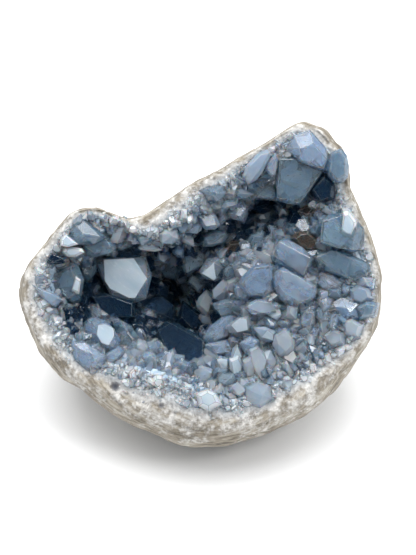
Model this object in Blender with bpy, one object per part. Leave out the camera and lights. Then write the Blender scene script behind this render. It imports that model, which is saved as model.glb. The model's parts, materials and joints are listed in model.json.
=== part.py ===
"""Celestite geode cluster: a rounded rock shell, broken open, with a hollow lined by blue crystals.

The mouth of the hollow faces the front and half upwards. Most of the shape is easiest to give as it
looks from there, so the tables hold picture coordinates in millimetres: u to the right and v up across
the mouth, w towards the viewer. place() turns them into the part's own frame (metres, +Z up, origin
under the middle of the part on the surface that it rests on).
"""
import math

import bmesh
import bpy
import numpy as np
from mathutils import Matrix, Vector, noise

# Driving dimensions
MM = 0.001
TILT = math.radians(45.0)        # how far the mouth is turned up from facing the front
VIEW_DISTANCE = 500.0            # mm, where the rays meet along which the crystals are lined up
ORIGIN_U, ORIGIN_Y, BASE_Z = 0.0, 8.75, -64.0     # mm, the middle of the base in the tilted frame
BACK_DEPTH = 62.0                # mm from the widest section to the back of the shell
BACK_SQUARENESS = 2.5            # 2 is an ellipse, higher is boxier
CENTRE_V = -7.0                  # mm, height of the centre that the rings run round
BACK_RINGS = 6
HOLLOW_SHARES = (0.95, 0.84, 0.69, 0.52, 0.34, 0.16, 0.0)       # rings down the hollow
GAP = 0.3                        # mm between the rock and the crust
CRUST = 2.6                      # mm, thickness of the grown-together base under the crystals

# The widest section of the shell, (u, v)
OUTLINE = [
    (74.8, -7.0), (75.2, 1.0), (74.4, 9.0), (72.3, 16.5), (69.4, 24.0), (66.5, 31.5), (63.2, 39.0),
    (61.8, 48.5), (59.2, 56.0), (55.0, 60.5), (51.0, 64.6), (45.5, 66.6), (41.5, 67.0), (30.0, 60.1),
    (20.0, 54.7), (12.0, 50.2), (5.6, 46.5), (-5.0, 40.7), (-13.6, 34.9), (-21.4, 30.0),
    (-25.7, 28.2), (-31.0, 27.6), (-37.0, 29.6), (-42.9, 31.8), (-52.1, 30.8), (-57.4, 26.1),
    (-61.9, 20.5), (-66.9, 14.7), (-71.9, 8.3), (-74.7, 0.8), (-75.2, -7.0), (-72.7, -14.7),
    (-69.8, -21.9), (-66.5, -28.6), (-61.9, -34.6), (-56.9, -39.9), (-50.4, -43.6), (-45.0, -47.6),
    (-35.1, -55.4), (-29.8, -58.5), (-18.2, -63.0), (-12.4, -65.8), (-6.4, -67.5), (6.4, -68.0),
    (19.0, -65.5), (31.4, -61.4), (43.3, -55.2), (48.9, -51.0), (54.5, -46.6), (58.7, -40.9),
    (63.2, -35.2), (67.8, -29.0), (71.4, -22.2), (73.9, -14.8)]

# Round the mouth: angle, where the rind ends and where the hollow begins as shares of the radius of
# the widest section, and how far the rim stands in front of that section (mm)
RIM = [
    (0, 0.97, 0.92, 7.0), (18, 0.97, 0.92, 6.0), (36, 0.96, 0.90, 5.0), (48, 0.96, 0.91, 4.0),
    (60, 0.96, 0.89, 5.0), (75, 0.95, 0.85, 7.0), (90, 0.94, 0.80, 8.0), (104, 0.93, 0.75, 8.0),
    (118, 0.93, 0.72, 7.0), (130, 0.94, 0.78, 6.0), (142, 0.96, 0.90, 5.0), (160, 0.97, 0.90, 6.0),
    (180, 0.95, 0.85, 8.0), (200, 0.92, 0.80, 10.0), (215, 0.89, 0.74, 13.0),
    (235, 0.84, 0.63, 16.0), (255, 0.81, 0.61, 18.0), (275, 0.82, 0.67, 18.0),
    (292, 0.86, 0.71, 17.0), (310, 0.84, 0.72, 15.0), (325, 0.86, 0.76, 12.0),
    (342, 0.94, 0.87, 9.0)]

# Pits (negative) and swellings (positive) of the hollow: u, v, depth, spread along, spread across, turn
LUMPS = [
    (-7.5, -7.5, -35.0, 12.5, 16.5, 0.0), (-48.0, -2.0, -15.0, 13.0, 17.0, 0.0),
    (-29.0, 0.0, -13.0, 15.0, 12.0, 0.0), (24.0, 27.0, -19.0, 19.0, 8.0, 20.0),
    (37.0, -15.0, 4.0, 20.0, 16.0, 0.0)]

# The crystals that stand out: name, corners of the outline (u, v), corners of the front face (u, v),
# how far the outline and the front face stand out from the wall (mm), and the slope of the front
# face to the right and upwards
CRYSTALS = [
    ("pale_block", [(-43.5, 9), (-42.5, 11), (-27, 11.5), (-22.5, 11), (-20, 3), (-21.5, -3), (-22.5, -6.5),
                    (-27, -8), (-34, -8), (-36.5, -6.5), (-41.5, 3.5)],
     [(-40, 10), (-27.5, 10.5), (-22, 2), (-27, -6), (-29.5, -6), (-37.5, -2), (-39.5, 1)],
     15, 18, 0.1, 0.1),
    ("left_blue", [(-62, 4), (-57.5, 7), (-52.5, 9.5), (-50.5, 8), (-48, 1.5), (-49.5, -7), (-52, -8.5),
                   (-59, -4.5)],
     [(-60.5, 3.5), (-53.5, 7), (-52, 2), (-52, -4), (-54.5, -6), (-59, -2)], 10, 14, 0.2, 0.1),
    ("upper_left_twin", [(-54.5, 22.5), (-51, 25), (-45.5, 23.5), (-38.5, 20.5), (-35.5, 14),
                         (-44, 10.5), (-50, 16.5), (-54, 18.5)],
     [(-44.5, 18), (-38.5, 19.5), (-36.5, 14.5), (-44, 11.5), (-49.5, 16.5)], 9, 12, 0.1, -0.2),
    ("under_block", [(-46, -5), (-40, -3.5), (-35, -5), (-27.5, -7), (-26, -14), (-33, -16.5),
                     (-40.5, -13), (-43.5, -10)],
     [(-44.5, -5.5), (-37.5, -5), (-28.5, -8.5), (-28.5, -13.5), (-37.5, -13.5), (-41.5, -10)],
     9, 13, 0.1, 0.05),
    ("hex_window", [(-49, -18.5), (-47, -14.5), (-44.5, -13.5), (-39.5, -15), (-35.5, -19),
                    (-33, -23.5), (-33.5, -27), (-38, -29.5), (-43.5, -29), (-47, -24.5)],
     [(-42.5, -17), (-39.5, -16.5), (-36, -18.5), (-36, -22), (-38, -25.5), (-41, -24.5), (-43, -21)],
     9, 13, 0.4, -0.2),
    ("frosty_ball", [(-28, -25), (-25.5, -23), (-23, -23.5), (-21, -26), (-21, -30), (-23.5, -32),
                     (-26.5, -31.5), (-28, -28.5)],
     [(-26.5, -25.5), (-24, -24.5), (-22.5, -26.5), (-23.5, -30), (-26, -29.5)], 4, 7, 0.0, -0.1),
    ("navy_block", [(-18.5, -24), (-18, -18.5), (-14.5, -15.5), (-9.5, -16.5), (1.5, -23), (2, -26.5),
                    (3.5, -31.5), (-1, -35.5), (-9, -34.5), (-15, -31.5)],
     [(-17.5, -19.5), (-12.5, -16.5), (1, -24), (0.5, -30.5), (-7.5, -33), (-13, -29.5)],
     10, 14, 0.4, -0.45),
    ("pit_navy", [(-9.5, -14), (-7.5, -7), (-0.5, -12), (1.5, -16.5), (2.5, -19.5), (1.5, -22.5),
                  (-4, -19.5), (-10, -16.5)],
     [(-8, -14), (-7, -8.5), (0, -14), (1, -19), (-4, -18)], 8, 11, 0.3, -0.2),
    ("pit_dark_left", [(-47.5, 2.5), (-43.5, 5.5), (-41, 2.5), (-40, -1), (-42, -2.5), (-47, -1.5)],
     [(-46.5, 2.5), (-44, 4.5), (-42, 1), (-43.5, -1.5)], 4, 6, 0.1, 0.1),
    ("grey_cube", [(-9, 11.5), (-8, 13), (-2.5, 16), (2.5, 11.5), (1.5, 8.5), (-1, 5.5), (-5, 3.5),
                   (-6.5, 4), (-8, 7.5)],
     [(-8, 11.5), (-3, 15.5), (2, 11.5), (0, 7), (-5.5, 4.5)], 9, 12, 0.2, -0.1),
    ("bright_wedge", [(-1, 4.5), (2.5, 10), (7.5, 11), (9.5, 10), (12, 4.5), (10.5, 2), (6, 0.5),
                      (2.5, 1.5)],
     [(5.5, 8.5), (6.5, 2), (5.5, 1), (0.5, 4)], 8, 12, 0.1, 0.3),
    ("wedge_foot", [(-5.5, 0.5), (-4, 3.5), (-0.5, 3), (3, 1), (5, 0), (-0.5, -4.5), (-2.5, -2.5)],
     [(-4.5, 0.5), (-3.5, 3), (2.5, 0.5), (-1, -3)], 9, 12, 0.0, -0.2),
    ("mound_lip", [(-2, -9.5), (-1, -6), (2.5, -2.5), (6, -5.5), (6.5, -8.5), (5, -12), (3, -14),
                   (0, -12)],
     [(-0.5, -9), (2.5, -4), (5, -7), (3, -12)], 12, 15, -0.1, 0.1),
    ("alcove_blue", [(-3, 29.5), (-1, 32), (2, 33), (5.5, 30.5), (7, 26.5), (8.5, 24), (6, 22),
                     (2, 22), (-1.5, 25.5)],
     [(-1.5, 29.5), (2, 32), (5, 29.5), (6.5, 24), (2.5, 23.5)], 6, 9, 0.2, -0.2),
    ("alcove_grey", [(0.5, 18), (1, 21), (6.5, 22), (10.5, 22), (11.5, 19.5), (10, 16.5), (5, 15),
                     (1, 15)],
     [(2, 18.5), (6.5, 21), (10.5, 20.5), (9, 17), (3.5, 16)], 8, 11, 0.0, -0.2),
    ("alcove_spikes", [(9, 33), (11, 36), (17.5, 35.5), (20.5, 31.5), (18, 25), (13, 26.5),
                       (10, 28.5)],
     [(10.5, 33), (17, 34.5), (19, 31), (16.5, 27.5), (12, 28.5)], 6, 9, 0.0, -0.3),
    ("striped_block", [(31.5, 45.5), (32.5, 52.5), (36, 54), (40, 51.5), (51.5, 46), (47.5, 42),
                       (41.5, 32), (36, 32.5), (31.5, 34)],
     [(33, 51), (40.5, 51), (50.5, 46), (41.5, 33), (32, 35)], 8, 11, 0.1, 0.0),
    ("striped_side", [(27, 46.5), (28, 50.5), (31.5, 54), (32.5, 51), (31.5, 45), (30, 43.5)],
     [(28, 47), (29, 50.5), (31.5, 52.5), (31.5, 46)], 6, 8, -0.3, 0.0),
    ("peak_plate", [(35, 55.5), (39, 61), (45.5, 63.5), (47.5, 60), (52.5, 55.5), (53.5, 49.5),
                    (51.5, 46), (41.5, 49.5), (40, 54)],
     [(41.5, 55.5), (47, 57.5), (52.5, 51), (51, 47), (42.5, 50)], 3, 7, 0.0, -0.1),
    ("round_tip", [(52, 48), (54.5, 54), (58.5, 55.5), (61, 52.5), (61.8, 48), (61.3, 43.5), (59, 41),
                   (55.5, 41), (53, 44)],
     [(54.5, 53), (58, 54), (60, 51), (60, 44.5), (56.5, 42.5), (54, 46)], 4, 7, 0.1, -0.1),
    ("small_shelf", [(22, 38.5), (24, 41), (28, 42), (31, 41), (31.5, 34.5), (28, 34.5), (23.5, 35)],
     [(23, 38.5), (27, 41), (30.5, 40), (30, 35.5), (24.5, 35.5)], 8, 10, 0.0, -0.2),
    ("pale_ridge", [(17.5, 43.5), (19, 48.5), (24.5, 54), (28.5, 55.5), (30, 54), (27.5, 51),
                    (26.5, 46.5), (23.5, 42.5), (20, 40.5)],
     [(19, 44), (20.5, 48), (25.5, 53), (28.5, 53.5), (26, 48), (21.5, 42.5)], 4, 6, -0.1, 0.1),
    ("shadow_wedge", [(45.5, 38.5), (51.5, 45.5), (52.5, 43.5), (56, 40), (56, 34.5), (50.5, 32.5),
                      (47.5, 34.5)],
     [(47, 38.5), (51.5, 43.5), (54.5, 39.5), (54, 35.5), (50, 34)], 5, 8, 0.2, 0.05),
    ("mirror_block", [(49, 16), (50.5, 25.5), (53.5, 28.5), (60, 29), (64, 27), (68, 22), (68, 17.5),
                      (66.5, 13.5), (63.5, 12), (56.5, 14)],
     [(50.5, 25), (59.5, 28), (64.5, 22), (63, 19), (62.5, 13.5), (56.5, 14.5), (50, 17)],
     4, 8, -0.1, 0.0),
    ("slate_block", [(46.5, 10.5), (50.5, 13), (55, 14), (61.5, 12), (67.5, 9), (70, 7.5), (70.5, 5),
                     (69.5, 1), (65, -1), (57, 2), (50.5, 5)],
     [(48, 10.5), (55, 13), (56.5, 12.5), (67, 7.5), (68.5, 3), (63.5, 1), (56.5, 4)],
     4, 7, 0.0, -0.05),
    ("tilted_prism", [(29, 11.5), (32.5, 17.5), (37, 17.5), (42.5, 14.5), (47.5, 9.5), (45, 5.5),
                      (43, 2), (39.5, 3.5), (34.5, 6.5), (30, 9)],
     [(30, 11.5), (32.5, 17), (45.5, 10), (42.5, 3)], 7, 10, 0.0, 0.2),
    ("clear_nose", [(30, 3), (31, 5), (34, 6.5), (39.5, 3.5), (48, -1), (48.5, -4.5), (46.5, -7.5),
                    (41, -10), (38.5, -11), (35.5, -9.5), (32, -6.5), (30.5, -2.5)],
     [(33, 5), (39.5, 3), (47, -2), (45.5, -6), (41, -8.5), (35.5, -6), (32, -1)], 7, 11, 0.1, 0.1),
    ("clear_left", [(15.5, -0.5), (16.5, 2), (21.5, 7), (28.5, 8.5), (31.5, 5.5), (30.5, -1),
                    (31, -6), (27.5, -7), (20.5, -6), (16.5, -3.5)],
     [(17, -0.5), (22.5, 6), (28.5, 7), (29, -1), (26.5, -5.5), (20.5, -4.5)], 7, 10, 0.0, 0.1),
    ("mound_top", [(18, -10.5), (19.5, -8.5), (23.5, -6.5), (29, -7), (32, -10), (32.5, -13),
                   (27, -13.5), (21.5, -13.5)],
     [(19, -10), (23.5, -7.5), (29, -8.5), (31, -11.5), (25, -12.5)], 7, 9, 0.0, -0.1),
    ("bright_pair", [(10.5, -18), (15, -14.5), (20, -13.5), (21.5, -17), (19.5, -21), (15, -21.5),
                     (11.5, -20.5)],
     [(12.5, -17.5), (16, -14.5), (19, -15), (19.5, -19.5), (15, -20.5)], 8, 11, 0.1, 0.3),
    ("bright_spark", [(21.5, -18.5), (26.5, -18), (31, -20), (30.5, -24.5), (25, -24.5)],
     [(25, -22.5), (27.5, -19.5), (30, -21.5), (30, -24)], 7, 9, 0.1, 0.4),
    ("zoned_tip", [(29.5, -25.5), (30.5, -21.5), (35, -18.5), (37.5, -21), (39, -24.5), (38.5, -28.5),
                   (36, -31), (32, -30.5)],
     [(31, -22.5), (35, -19.5), (37.5, -22.5), (37.5, -26), (35, -28.5), (32, -25.5)], 7, 11, 0.0, 0.0),
    ("low_tip", [(12, -31), (13, -27), (15, -25), (18, -30.5), (16.5, -33.5), (13, -32.5)],
     [(13, -31), (15, -26), (17, -30.5), (15.5, -32)], 6, 8, 0.0, 0.2),
    ("low_tip_left", [(5.5, -31), (8, -30), (11.5, -31), (12, -34), (9.5, -39.5), (7, -37)],
     [(6.5, -31.5), (11, -31.5), (11, -34), (9.5, -38)], 6, 8, 0.1, -0.1),
    ("low_fan", [(19.5, -27.5), (23.5, -26), (26.5, -29), (29, -32), (28, -37.5), (25, -42.5),
                 (23, -41), (19.5, -34)],
     [(20.5, -28.5), (23.5, -27), (27, -32), (25, -40), (21.5, -35)], 5, 8, 0.0, -0.1),
    ("low_frost", [(11, -42.5), (15.5, -41), (19.5, -44.5), (16.5, -47.5), (12, -45.5)],
     [(12.5, -42.5), (15.5, -41.5), (18, -44.5), (15.5, -46.5)], 3, 5, 0.0, 0.0),
    ("low_slate", [(-4.5, -35.5), (0, -34), (5, -35.5), (6, -40.5), (3, -44), (-2.5, -44)],
     [(-3, -36), (0.5, -35), (4.5, -37), (2.5, -43), (-2, -43)], 4, 6, 0.0, -0.2),
    ("right_pale", [(49, 1), (51, 3.5), (55.5, 2.5), (58, -0.5), (56, -3), (51.5, -3)],
     [(50.5, 1), (52.5, 2.5), (56.5, -0.5), (52.5, -2)], 5, 7, 0.0, 0.1),
    ("right_blade", [(48, -13.5), (51, -13.5), (54, -17.5), (55, -21), (50.5, -23.5), (47.5, -19)],
     [(49.5, -14.5), (51.5, -14.5), (53.5, -19), (50.5, -22)], 4, 6, 0.0, 0.0),
    ("right_low", [(40, -17.5), (42, -12), (45, -10), (48, -12), (47.5, -18), (43, -20.5)],
     [(41.5, -17), (43, -12), (46.5, -13), (45, -18.5)], 5, 7, 0.0, 0.1),
    ("lobe_dark", [(-63.5, 10.5), (-62, 13), (-59.5, 12.5), (-56, 10.5), (-56, 8.5), (-60.5, 8),
                   (-63.5, 8.5)],
     [(-63, 10.5), (-61.5, 12.5), (-57, 10.5), (-60.5, 9)], 3, 5, 0.0, 0.2),
    ("pale_chip", [(-52.5, 10.5), (-51, 12.5), (-48.5, 12.5), (-48, 10), (-49.5, 8.5)],
     [(-52, 10.5), (-50.5, 12), (-48.5, 11.5), (-49.5, 9)], 4, 6, 0.0, 0.2)]

# Smaller crystals between them
FILL_SEED = 7
FILL_TRIES = 2100
FILL_LARGEST, FILL_SMALLEST = 11.0, 5.2           # mm across


def place(u, v, w):
    """Part coordinates of what is seen at (u, v) on the mouth's plane and lies w in front of it."""
    scale = 1.0 - w / VIEW_DISTANCE
    u, v = u * scale, v * scale
    y = v * math.sin(TILT) - w * math.cos(TILT)
    z = v * math.cos(TILT) + w * math.sin(TILT)
    return Vector(((u - ORIGIN_U) * MM, (y - ORIGIN_Y) * MM, (z - BASE_Z) * MM))


def around(rows, angle):
    """Value at an angle on a smooth closed curve through rows of (angle, value)."""
    count = len(rows)
    for i in range(count):
        a0, p0 = rows[i]
        a1, p1 = rows[(i + 1) % count]
        span = (a1 - a0) % 360.0
        s = (angle - a0) % 360.0
        if s <= span:
            before = rows[i - 1]
            after = rows[(i + 2) % count]
            m0 = (p1 - before[1]) / ((a1 - before[0]) % 360.0) * span
            m1 = (after[1] - p0) / ((after[0] - a0) % 360.0) * span
            t = s / span
            return ((2 * t**3 - 3 * t**2 + 1) * p0 + (t**3 - 2 * t**2 + t) * m0
                    + (3 * t**2 - 2 * t**3) * p1 + (t**3 - t**2) * m1)
    return rows[0][1]


RADII = sorted((math.degrees(math.atan2(v - CENTRE_V, u)) % 360.0, math.hypot(u, v - CENTRE_V))
               for u, v in OUTLINE)
ANGLES = [angle for angle, radius in RADII]
RIND_END = [(row[0], row[1]) for row in RIM]
HOLLOW_START = [(row[0], row[2]) for row in RIM]
RIM_HEIGHT = [(row[0], row[3]) for row in RIM]


def wall(u, v):
    """Depth of the hollow's wall, and how far out the point is (1 at the mouth's edge)."""
    angle = math.degrees(math.atan2(v - CENTRE_V, u)) % 360.0
    reach = math.hypot(u, v - CENTRE_V) / (around(RADII, angle) * around(HOLLOW_START, angle))
    inside = min(reach, 1.0)
    depth = around(RIM_HEIGHT, angle) * inside**2 + 7.0 * (1.0 - inside**2)
    depth -= 8.0 * (1.0 - inside**5)
    lumps = 0.0
    for cu, cv, height, along, across, turn in LUMPS:
        c, s = math.cos(math.radians(turn)), math.sin(math.radians(turn))
        p = ((u - cu) * c + (v - cv) * s) / along
        q = (-(u - cu) * s + (v - cv) * c) / across
        lumps += height * math.exp(-0.5 * (p * p + q * q))
    return depth + lumps * (1.0 - inside**8), reach


def ring_mesh(name, rings):
    """Closed mesh from rings of points, the first and last ring being one point each."""
    mesh = bmesh.new()
    rows = [[mesh.verts.new(p) for p in ring] for ring in rings]
    for near, far in zip(rows, rows[1:]):
        count = max(len(near), len(far))
        for i in range(count):
            j = (i + 1) % count
            if len(near) == 1:
                mesh.faces.new((near[0], far[i], far[j]))
            elif len(far) == 1:
                mesh.faces.new((near[i], far[0], near[j]))
            else:
                mesh.faces.new((near[i], far[i], far[j]))
                mesh.faces.new((near[i], far[j], near[j]))
    bmesh.ops.recalc_face_normals(mesh, faces=mesh.faces)
    return finish(name, mesh)


def finish(name, mesh):
    data = bpy.data.meshes.new(name)
    if mesh.calc_volume(signed=True) < 0.0:
        bmesh.ops.reverse_faces(mesh, faces=mesh.faces)
    mesh.to_mesh(data)
    mesh.free()
    part = bpy.data.objects.new(name, data)
    bpy.context.collection.objects.link(part)
    return part


def rough(u, v, w, size):
    return noise.noise(Vector((u / size, v / size, w / size + 3.0)))


def back_rings():
    """Rings of the rounded back, from its deepest point to the widest section."""
    rings = [[place(0.0, CENTRE_V, -BACK_DEPTH)]]
    power = 2.0 / BACK_SQUARENESS
    for k in range(1, BACK_RINGS + 1):
        turn = math.pi / 2 * k / BACK_RINGS
        out, deep = math.sin(turn)**power, math.cos(turn)**power if k < BACK_RINGS else 0.0
        ring = []
        for angle in ANGLES:
            radius = around(RADII, angle) * out
            u = radius * math.cos(math.radians(angle))
            v = CENTRE_V + radius * math.sin(math.radians(angle))
            w = -BACK_DEPTH * deep
            w += deep * 3.0 * rough(u, v, w, 34.0)
            ring.append(place(u, v, w))
        rings.append(ring)
    return rings


def rim_rings(lift=0.0):
    """Rings over the rounded edge of the rind and the broken rim, outside to inside."""
    rings = []
    for turn in (35.0, 65.0, 90.0, None):
        ring = []
        for angle in ANGLES:
            radius, height = around(RADII, angle), around(RIM_HEIGHT, angle)
            end, start = around(RIND_END, angle), around(HOLLOW_START, angle)
            if turn is None:
                out, w = start, height
            else:
                out = 1.0 - (1.0 - end) * (1.0 - math.cos(math.radians(turn)))
                w = height * math.sin(math.radians(turn))
            u = radius * out * math.cos(math.radians(angle))
            v = CENTRE_V + radius * out * math.sin(math.radians(angle))
            if turn in (90.0, None):
                w += 1.3 * rough(u, v, w, 5.0)
            ring.append(place(u, v, w + lift))
        rings.append(ring)
    return rings


def hollow_rings(lift, bump=0.0, shares=HOLLOW_SHARES, angles=ANGLES):
    """Rings down the wall of the hollow to its middle, lifted off it by lift."""
    rings = []
    for share in shares:
        ring = []
        for angle in angles if share > 0.0 else (0.0,):
            radius = around(RADII, angle) * around(HOLLOW_START, angle) * share
            u = radius * math.cos(math.radians(angle))
            v = CENTRE_V + radius * math.sin(math.radians(angle))
            w = wall(u, v)[0]
            ring.append(place(u, v, w + lift + bump * rough(u, v, w, 4.0)))
        rings.append(ring)
    return rings


def hull(name, points):
    mesh = bmesh.new()
    for point in points:
        mesh.verts.new(point)
    made = bmesh.ops.convex_hull(mesh, input=mesh.verts)
    loose = [v for v in set(made["geom_interior"] + made["geom_unused"])
             if isinstance(v, bmesh.types.BMVert) and v.is_valid]
    bmesh.ops.delete(mesh, geom=loose, context="VERTS")
    bmesh.ops.dissolve_limit(mesh, angle_limit=math.radians(3.0), verts=mesh.verts, edges=mesh.edges)
    bmesh.ops.recalc_face_normals(mesh, faces=mesh.faces)
    return finish(name, mesh)


def standing_crystal(name, outline, face, side, front, slope_u, slope_v):
    """One crystal from its outline and its front face, rooted in the wall behind it."""
    cu = sum(u for u, v in outline) / len(outline)
    cv = sum(v for u, v in outline) / len(outline)
    level = wall(cu, cv)[0]
    points = []
    for u, v in face:
        points.append(place(u, v, level + front + slope_u * (u - cu) + slope_v * (v - cv)))
    for u, v in outline:
        points.append(place(u, v, level + side + 0.7 * (slope_u * (u - cu) + slope_v * (v - cv))))
    for u, v in outline:
        u, v = cu + 0.82 * (u - cu), cv + 0.82 * (v - cv)
        points.append(place(u, v, min(wall(u, v)[0] - 1.5, level + side - 2.0)))
    return hull(name, points)


def small_crystal(name, foot, axis, size, rng):
    """Blocky prism with a wedge-shaped end and cut corners, standing on its foot."""
    mesh = bmesh.new()
    wide, thick = size * MM * rng.uniform(0.8, 1.1), size * MM * rng.uniform(0.55, 0.95)
    tall = size * MM * rng.uniform(0.75, 1.25)
    bmesh.ops.create_cube(mesh, size=1.0)
    bmesh.ops.scale(mesh, vec=(wide, thick, tall + 4.0 * MM), verts=mesh.verts)
    bmesh.ops.translate(mesh, vec=(0, 0, (tall - 4.0 * MM) / 2), verts=mesh.verts)
    cuts = []
    lean = rng.uniform(0.5, 1.0)
    for sign in (-1, 1):
        cuts.append(((0, 0, tall * rng.uniform(0.78, 0.95)), (0, sign * lean, 1)))
    cuts.append(((wide * 0.36, 0, tall * 0.62), (1, rng.uniform(-0.2, 0.2), rng.uniform(0.5, 1.1))))
    if rng.random() < 0.6:
        cuts.append(((-wide * 0.4, 0, tall * 0.7), (-1, rng.uniform(-0.3, 0.3), rng.uniform(0.4, 0.9))))
    for point, normal in cuts:
        geometry = mesh.verts[:] + mesh.edges[:] + mesh.faces[:]
        cut = bmesh.ops.bisect_plane(mesh, geom=geometry, plane_co=point, plane_no=normal,
                                     clear_outer=True)
        edges = [e for e in cut["geom_cut"] if isinstance(e, bmesh.types.BMEdge)]
        if edges:
            bmesh.ops.contextual_create(mesh, geom=edges)
    turn = axis.to_track_quat("Z", "Y").to_matrix().to_4x4()
    spin = Matrix.Rotation(rng.uniform(0, 2 * math.pi), 4, "Z")
    bmesh.ops.transform(mesh, matrix=Matrix.Translation(foot) @ turn @ spin, verts=mesh.verts)
    bmesh.ops.recalc_face_normals(mesh, faces=mesh.faces)
    return finish(name, mesh)


def fill_crystals():
    """Small crystals spread over the wall wherever the large ones leave it bare."""
    rng = np.random.default_rng(FILL_SEED)
    taken = []
    for name, outline, face, side, front, slope_u, slope_v in CRYSTALS:
        cu = sum(u for u, v in outline) / len(outline)
        cv = sum(v for u, v in outline) / len(outline)
        span = sum(math.hypot(u - cu, v - cv) for u, v in outline) / len(outline)
        taken.append((cu, cv, span * 0.8))
    parts = []
    for k in range(FILL_TRIES):
        u, v = rng.uniform(-74, 74), rng.uniform(-60, 66)
        size = FILL_LARGEST + (FILL_SMALLEST - FILL_LARGEST) * k / FILL_TRIES
        level, reach = wall(u, v)
        size *= max(0.5, 1.0 + min(level, 0.0) / 50.0)
        if reach > 0.99 - 0.006 * size or size < 0.8 * FILL_SMALLEST:
            continue
        if any(math.hypot(u - a, v - b) < c + size * 0.34 for a, b, c in taken):
            continue
        taken.append((u, v, size * 0.34))
        step = 1.5
        here = place(u, v, level)
        right = place(u + step, v, wall(u + step, v)[0]) - here
        up = place(u, v + step, wall(u, v + step)[0]) - here
        normal = right.cross(up).normalized()
        viewer = (place(0, 0, 100) - place(0, 0, 0)).normalized()
        spread = Vector((rng.normal(0, 0.28), rng.normal(0, 0.28), rng.normal(0, 0.28)))
        axis = (normal * 0.75 + viewer * 0.45 + spread).normalized()
        parts.append(small_crystal("fill_%03d" % len(parts), here, axis, size, rng))
    return parts


def add_boolean(part, operation, other=None, group=None):
    cut = part.modifiers.new(operation.lower(), "BOOLEAN")
    cut.operation = operation
    cut.solver = "EXACT"
    if group is None:
        cut.object = other
    else:
        cut.operand_type = "COLLECTION"
        cut.collection = group
    return cut


def guide(part):
    part.hide_render = True
    part.display_type = "WIRE"


def keep_largest(part):
    """Replace the part's mesh by what its modifiers make, without loose chips."""
    graph = bpy.context.evaluated_depsgraph_get()
    data = bpy.data.meshes.new_from_object(part.evaluated_get(graph))
    part.modifiers.clear()
    mesh = bmesh.new()
    mesh.from_mesh(data)
    bmesh.ops.triangulate(mesh, faces=mesh.faces)
    mesh.faces.ensure_lookup_table()
    seen, islands = set(), []
    for face in mesh.faces:
        if face.index in seen:
            continue
        island, stack = [], [face]
        seen.add(face.index)
        while stack:
            one = stack.pop()
            island.append(one)
            for edge in one.edges:
                if len(edge.link_faces) != 2:
                    continue
                for near in edge.link_faces:
                    if near.index not in seen:
                        seen.add(near.index)
                        stack.append(near)
        islands.append(island)
    islands.sort(key=len)
    chips = [face for island in islands[:-1] for face in island]
    bmesh.ops.delete(mesh, geom=chips, context="FACES")
    mesh.to_mesh(data)
    mesh.free()
    part.data = data


def material(name, colour, roughness):
    made = bpy.data.materials.new(name)
    made.use_nodes = True
    shader = made.node_tree.nodes["Principled BSDF"]
    shader.inputs["Base Color"].default_value = (*colour, 1.0)
    shader.inputs["Roughness"].default_value = roughness
    shader.inputs["Metallic"].default_value = 0.0
    return made


for old in list(bpy.data.objects):
    bpy.data.objects.remove(old, do_unlink=True)

# Rock shell: rounded back, rind edge, broken rim and the bare hollow, with a small flat to rest on
rock_shell = ring_mesh("rock_shell", back_rings() + rim_rings() + hollow_rings(0.0))
floor_cut = ring_mesh("floor_cut", [
    [Vector((0, 0, -0.06))],
    [Vector((0.2 * math.cos(a), 0.2 * math.sin(a), -0.06)) for a in np.radians((45, 135, 225, 315))],
    [Vector((0.2 * math.cos(a), 0.2 * math.sin(a), 0.0)) for a in np.radians((45, 135, 225, 315))],
    [Vector((0, 0, 0.0))]])
guide(floor_cut)
add_boolean(rock_shell, "DIFFERENCE", floor_cut)
rock_shell.data.materials.append(material("beige grey rock", (0.46, 0.42, 0.36), 0.85))

# Crystal crust: a thin grown-together base over the whole hollow, and every crystal on it
coarse = ANGLES[::2]
deep = hollow_rings(-1.2, angles=coarse)
skin = hollow_rings(CRUST, 1.4, angles=coarse)
edge_low = hollow_rings(-2.4, 0.0, (1.05,), coarse)[0]
crust = ring_mesh("crystal_crust", [deep[-1]] + deep[-2::-1] + [edge_low] + skin)

stones = bpy.data.collections.new("crystals")
bpy.context.scene.collection.children.link(stones)
grown = [standing_crystal(*row) for row in CRYSTALS] + fill_crystals()
for stone in grown:
    guide(stone)
    bpy.context.collection.objects.unlink(stone)
    stones.objects.link(stone)

# What is in front of the rock: a block whose underside follows the rim and the hollow
front = rim_rings(GAP + 0.15)
outer = []
for angle, radius in RADII:
    turn = math.radians(angle)
    outer.append(((radius + 12.0) * math.cos(turn), CENTRE_V + (radius + 12.0) * math.sin(turn)))
above = ring_mesh("above_rock", [
    [place(0, CENTRE_V, 80)],
    [place(u, v, 80) for u, v in outer],
    [place(u, v, -2.0) for u, v in outer]] + front + hollow_rings(GAP + 0.15))
guide(above)

add_boolean(crust, "UNION", group=stones)
add_boolean(crust, "INTERSECT", above)
keep_largest(crust)
crust.data.materials.append(material("blue grey celestite", (0.28, 0.37, 0.47), 0.15))
for stone in grown:
    bpy.data.objects.remove(stone, do_unlink=True)
bpy.data.collections.remove(stones)
bpy.data.objects.remove(above, do_unlink=True)
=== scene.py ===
import json
import math

import bmesh
import bpy
import numpy as np
from mathutils import Matrix, Vector, noise

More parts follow.
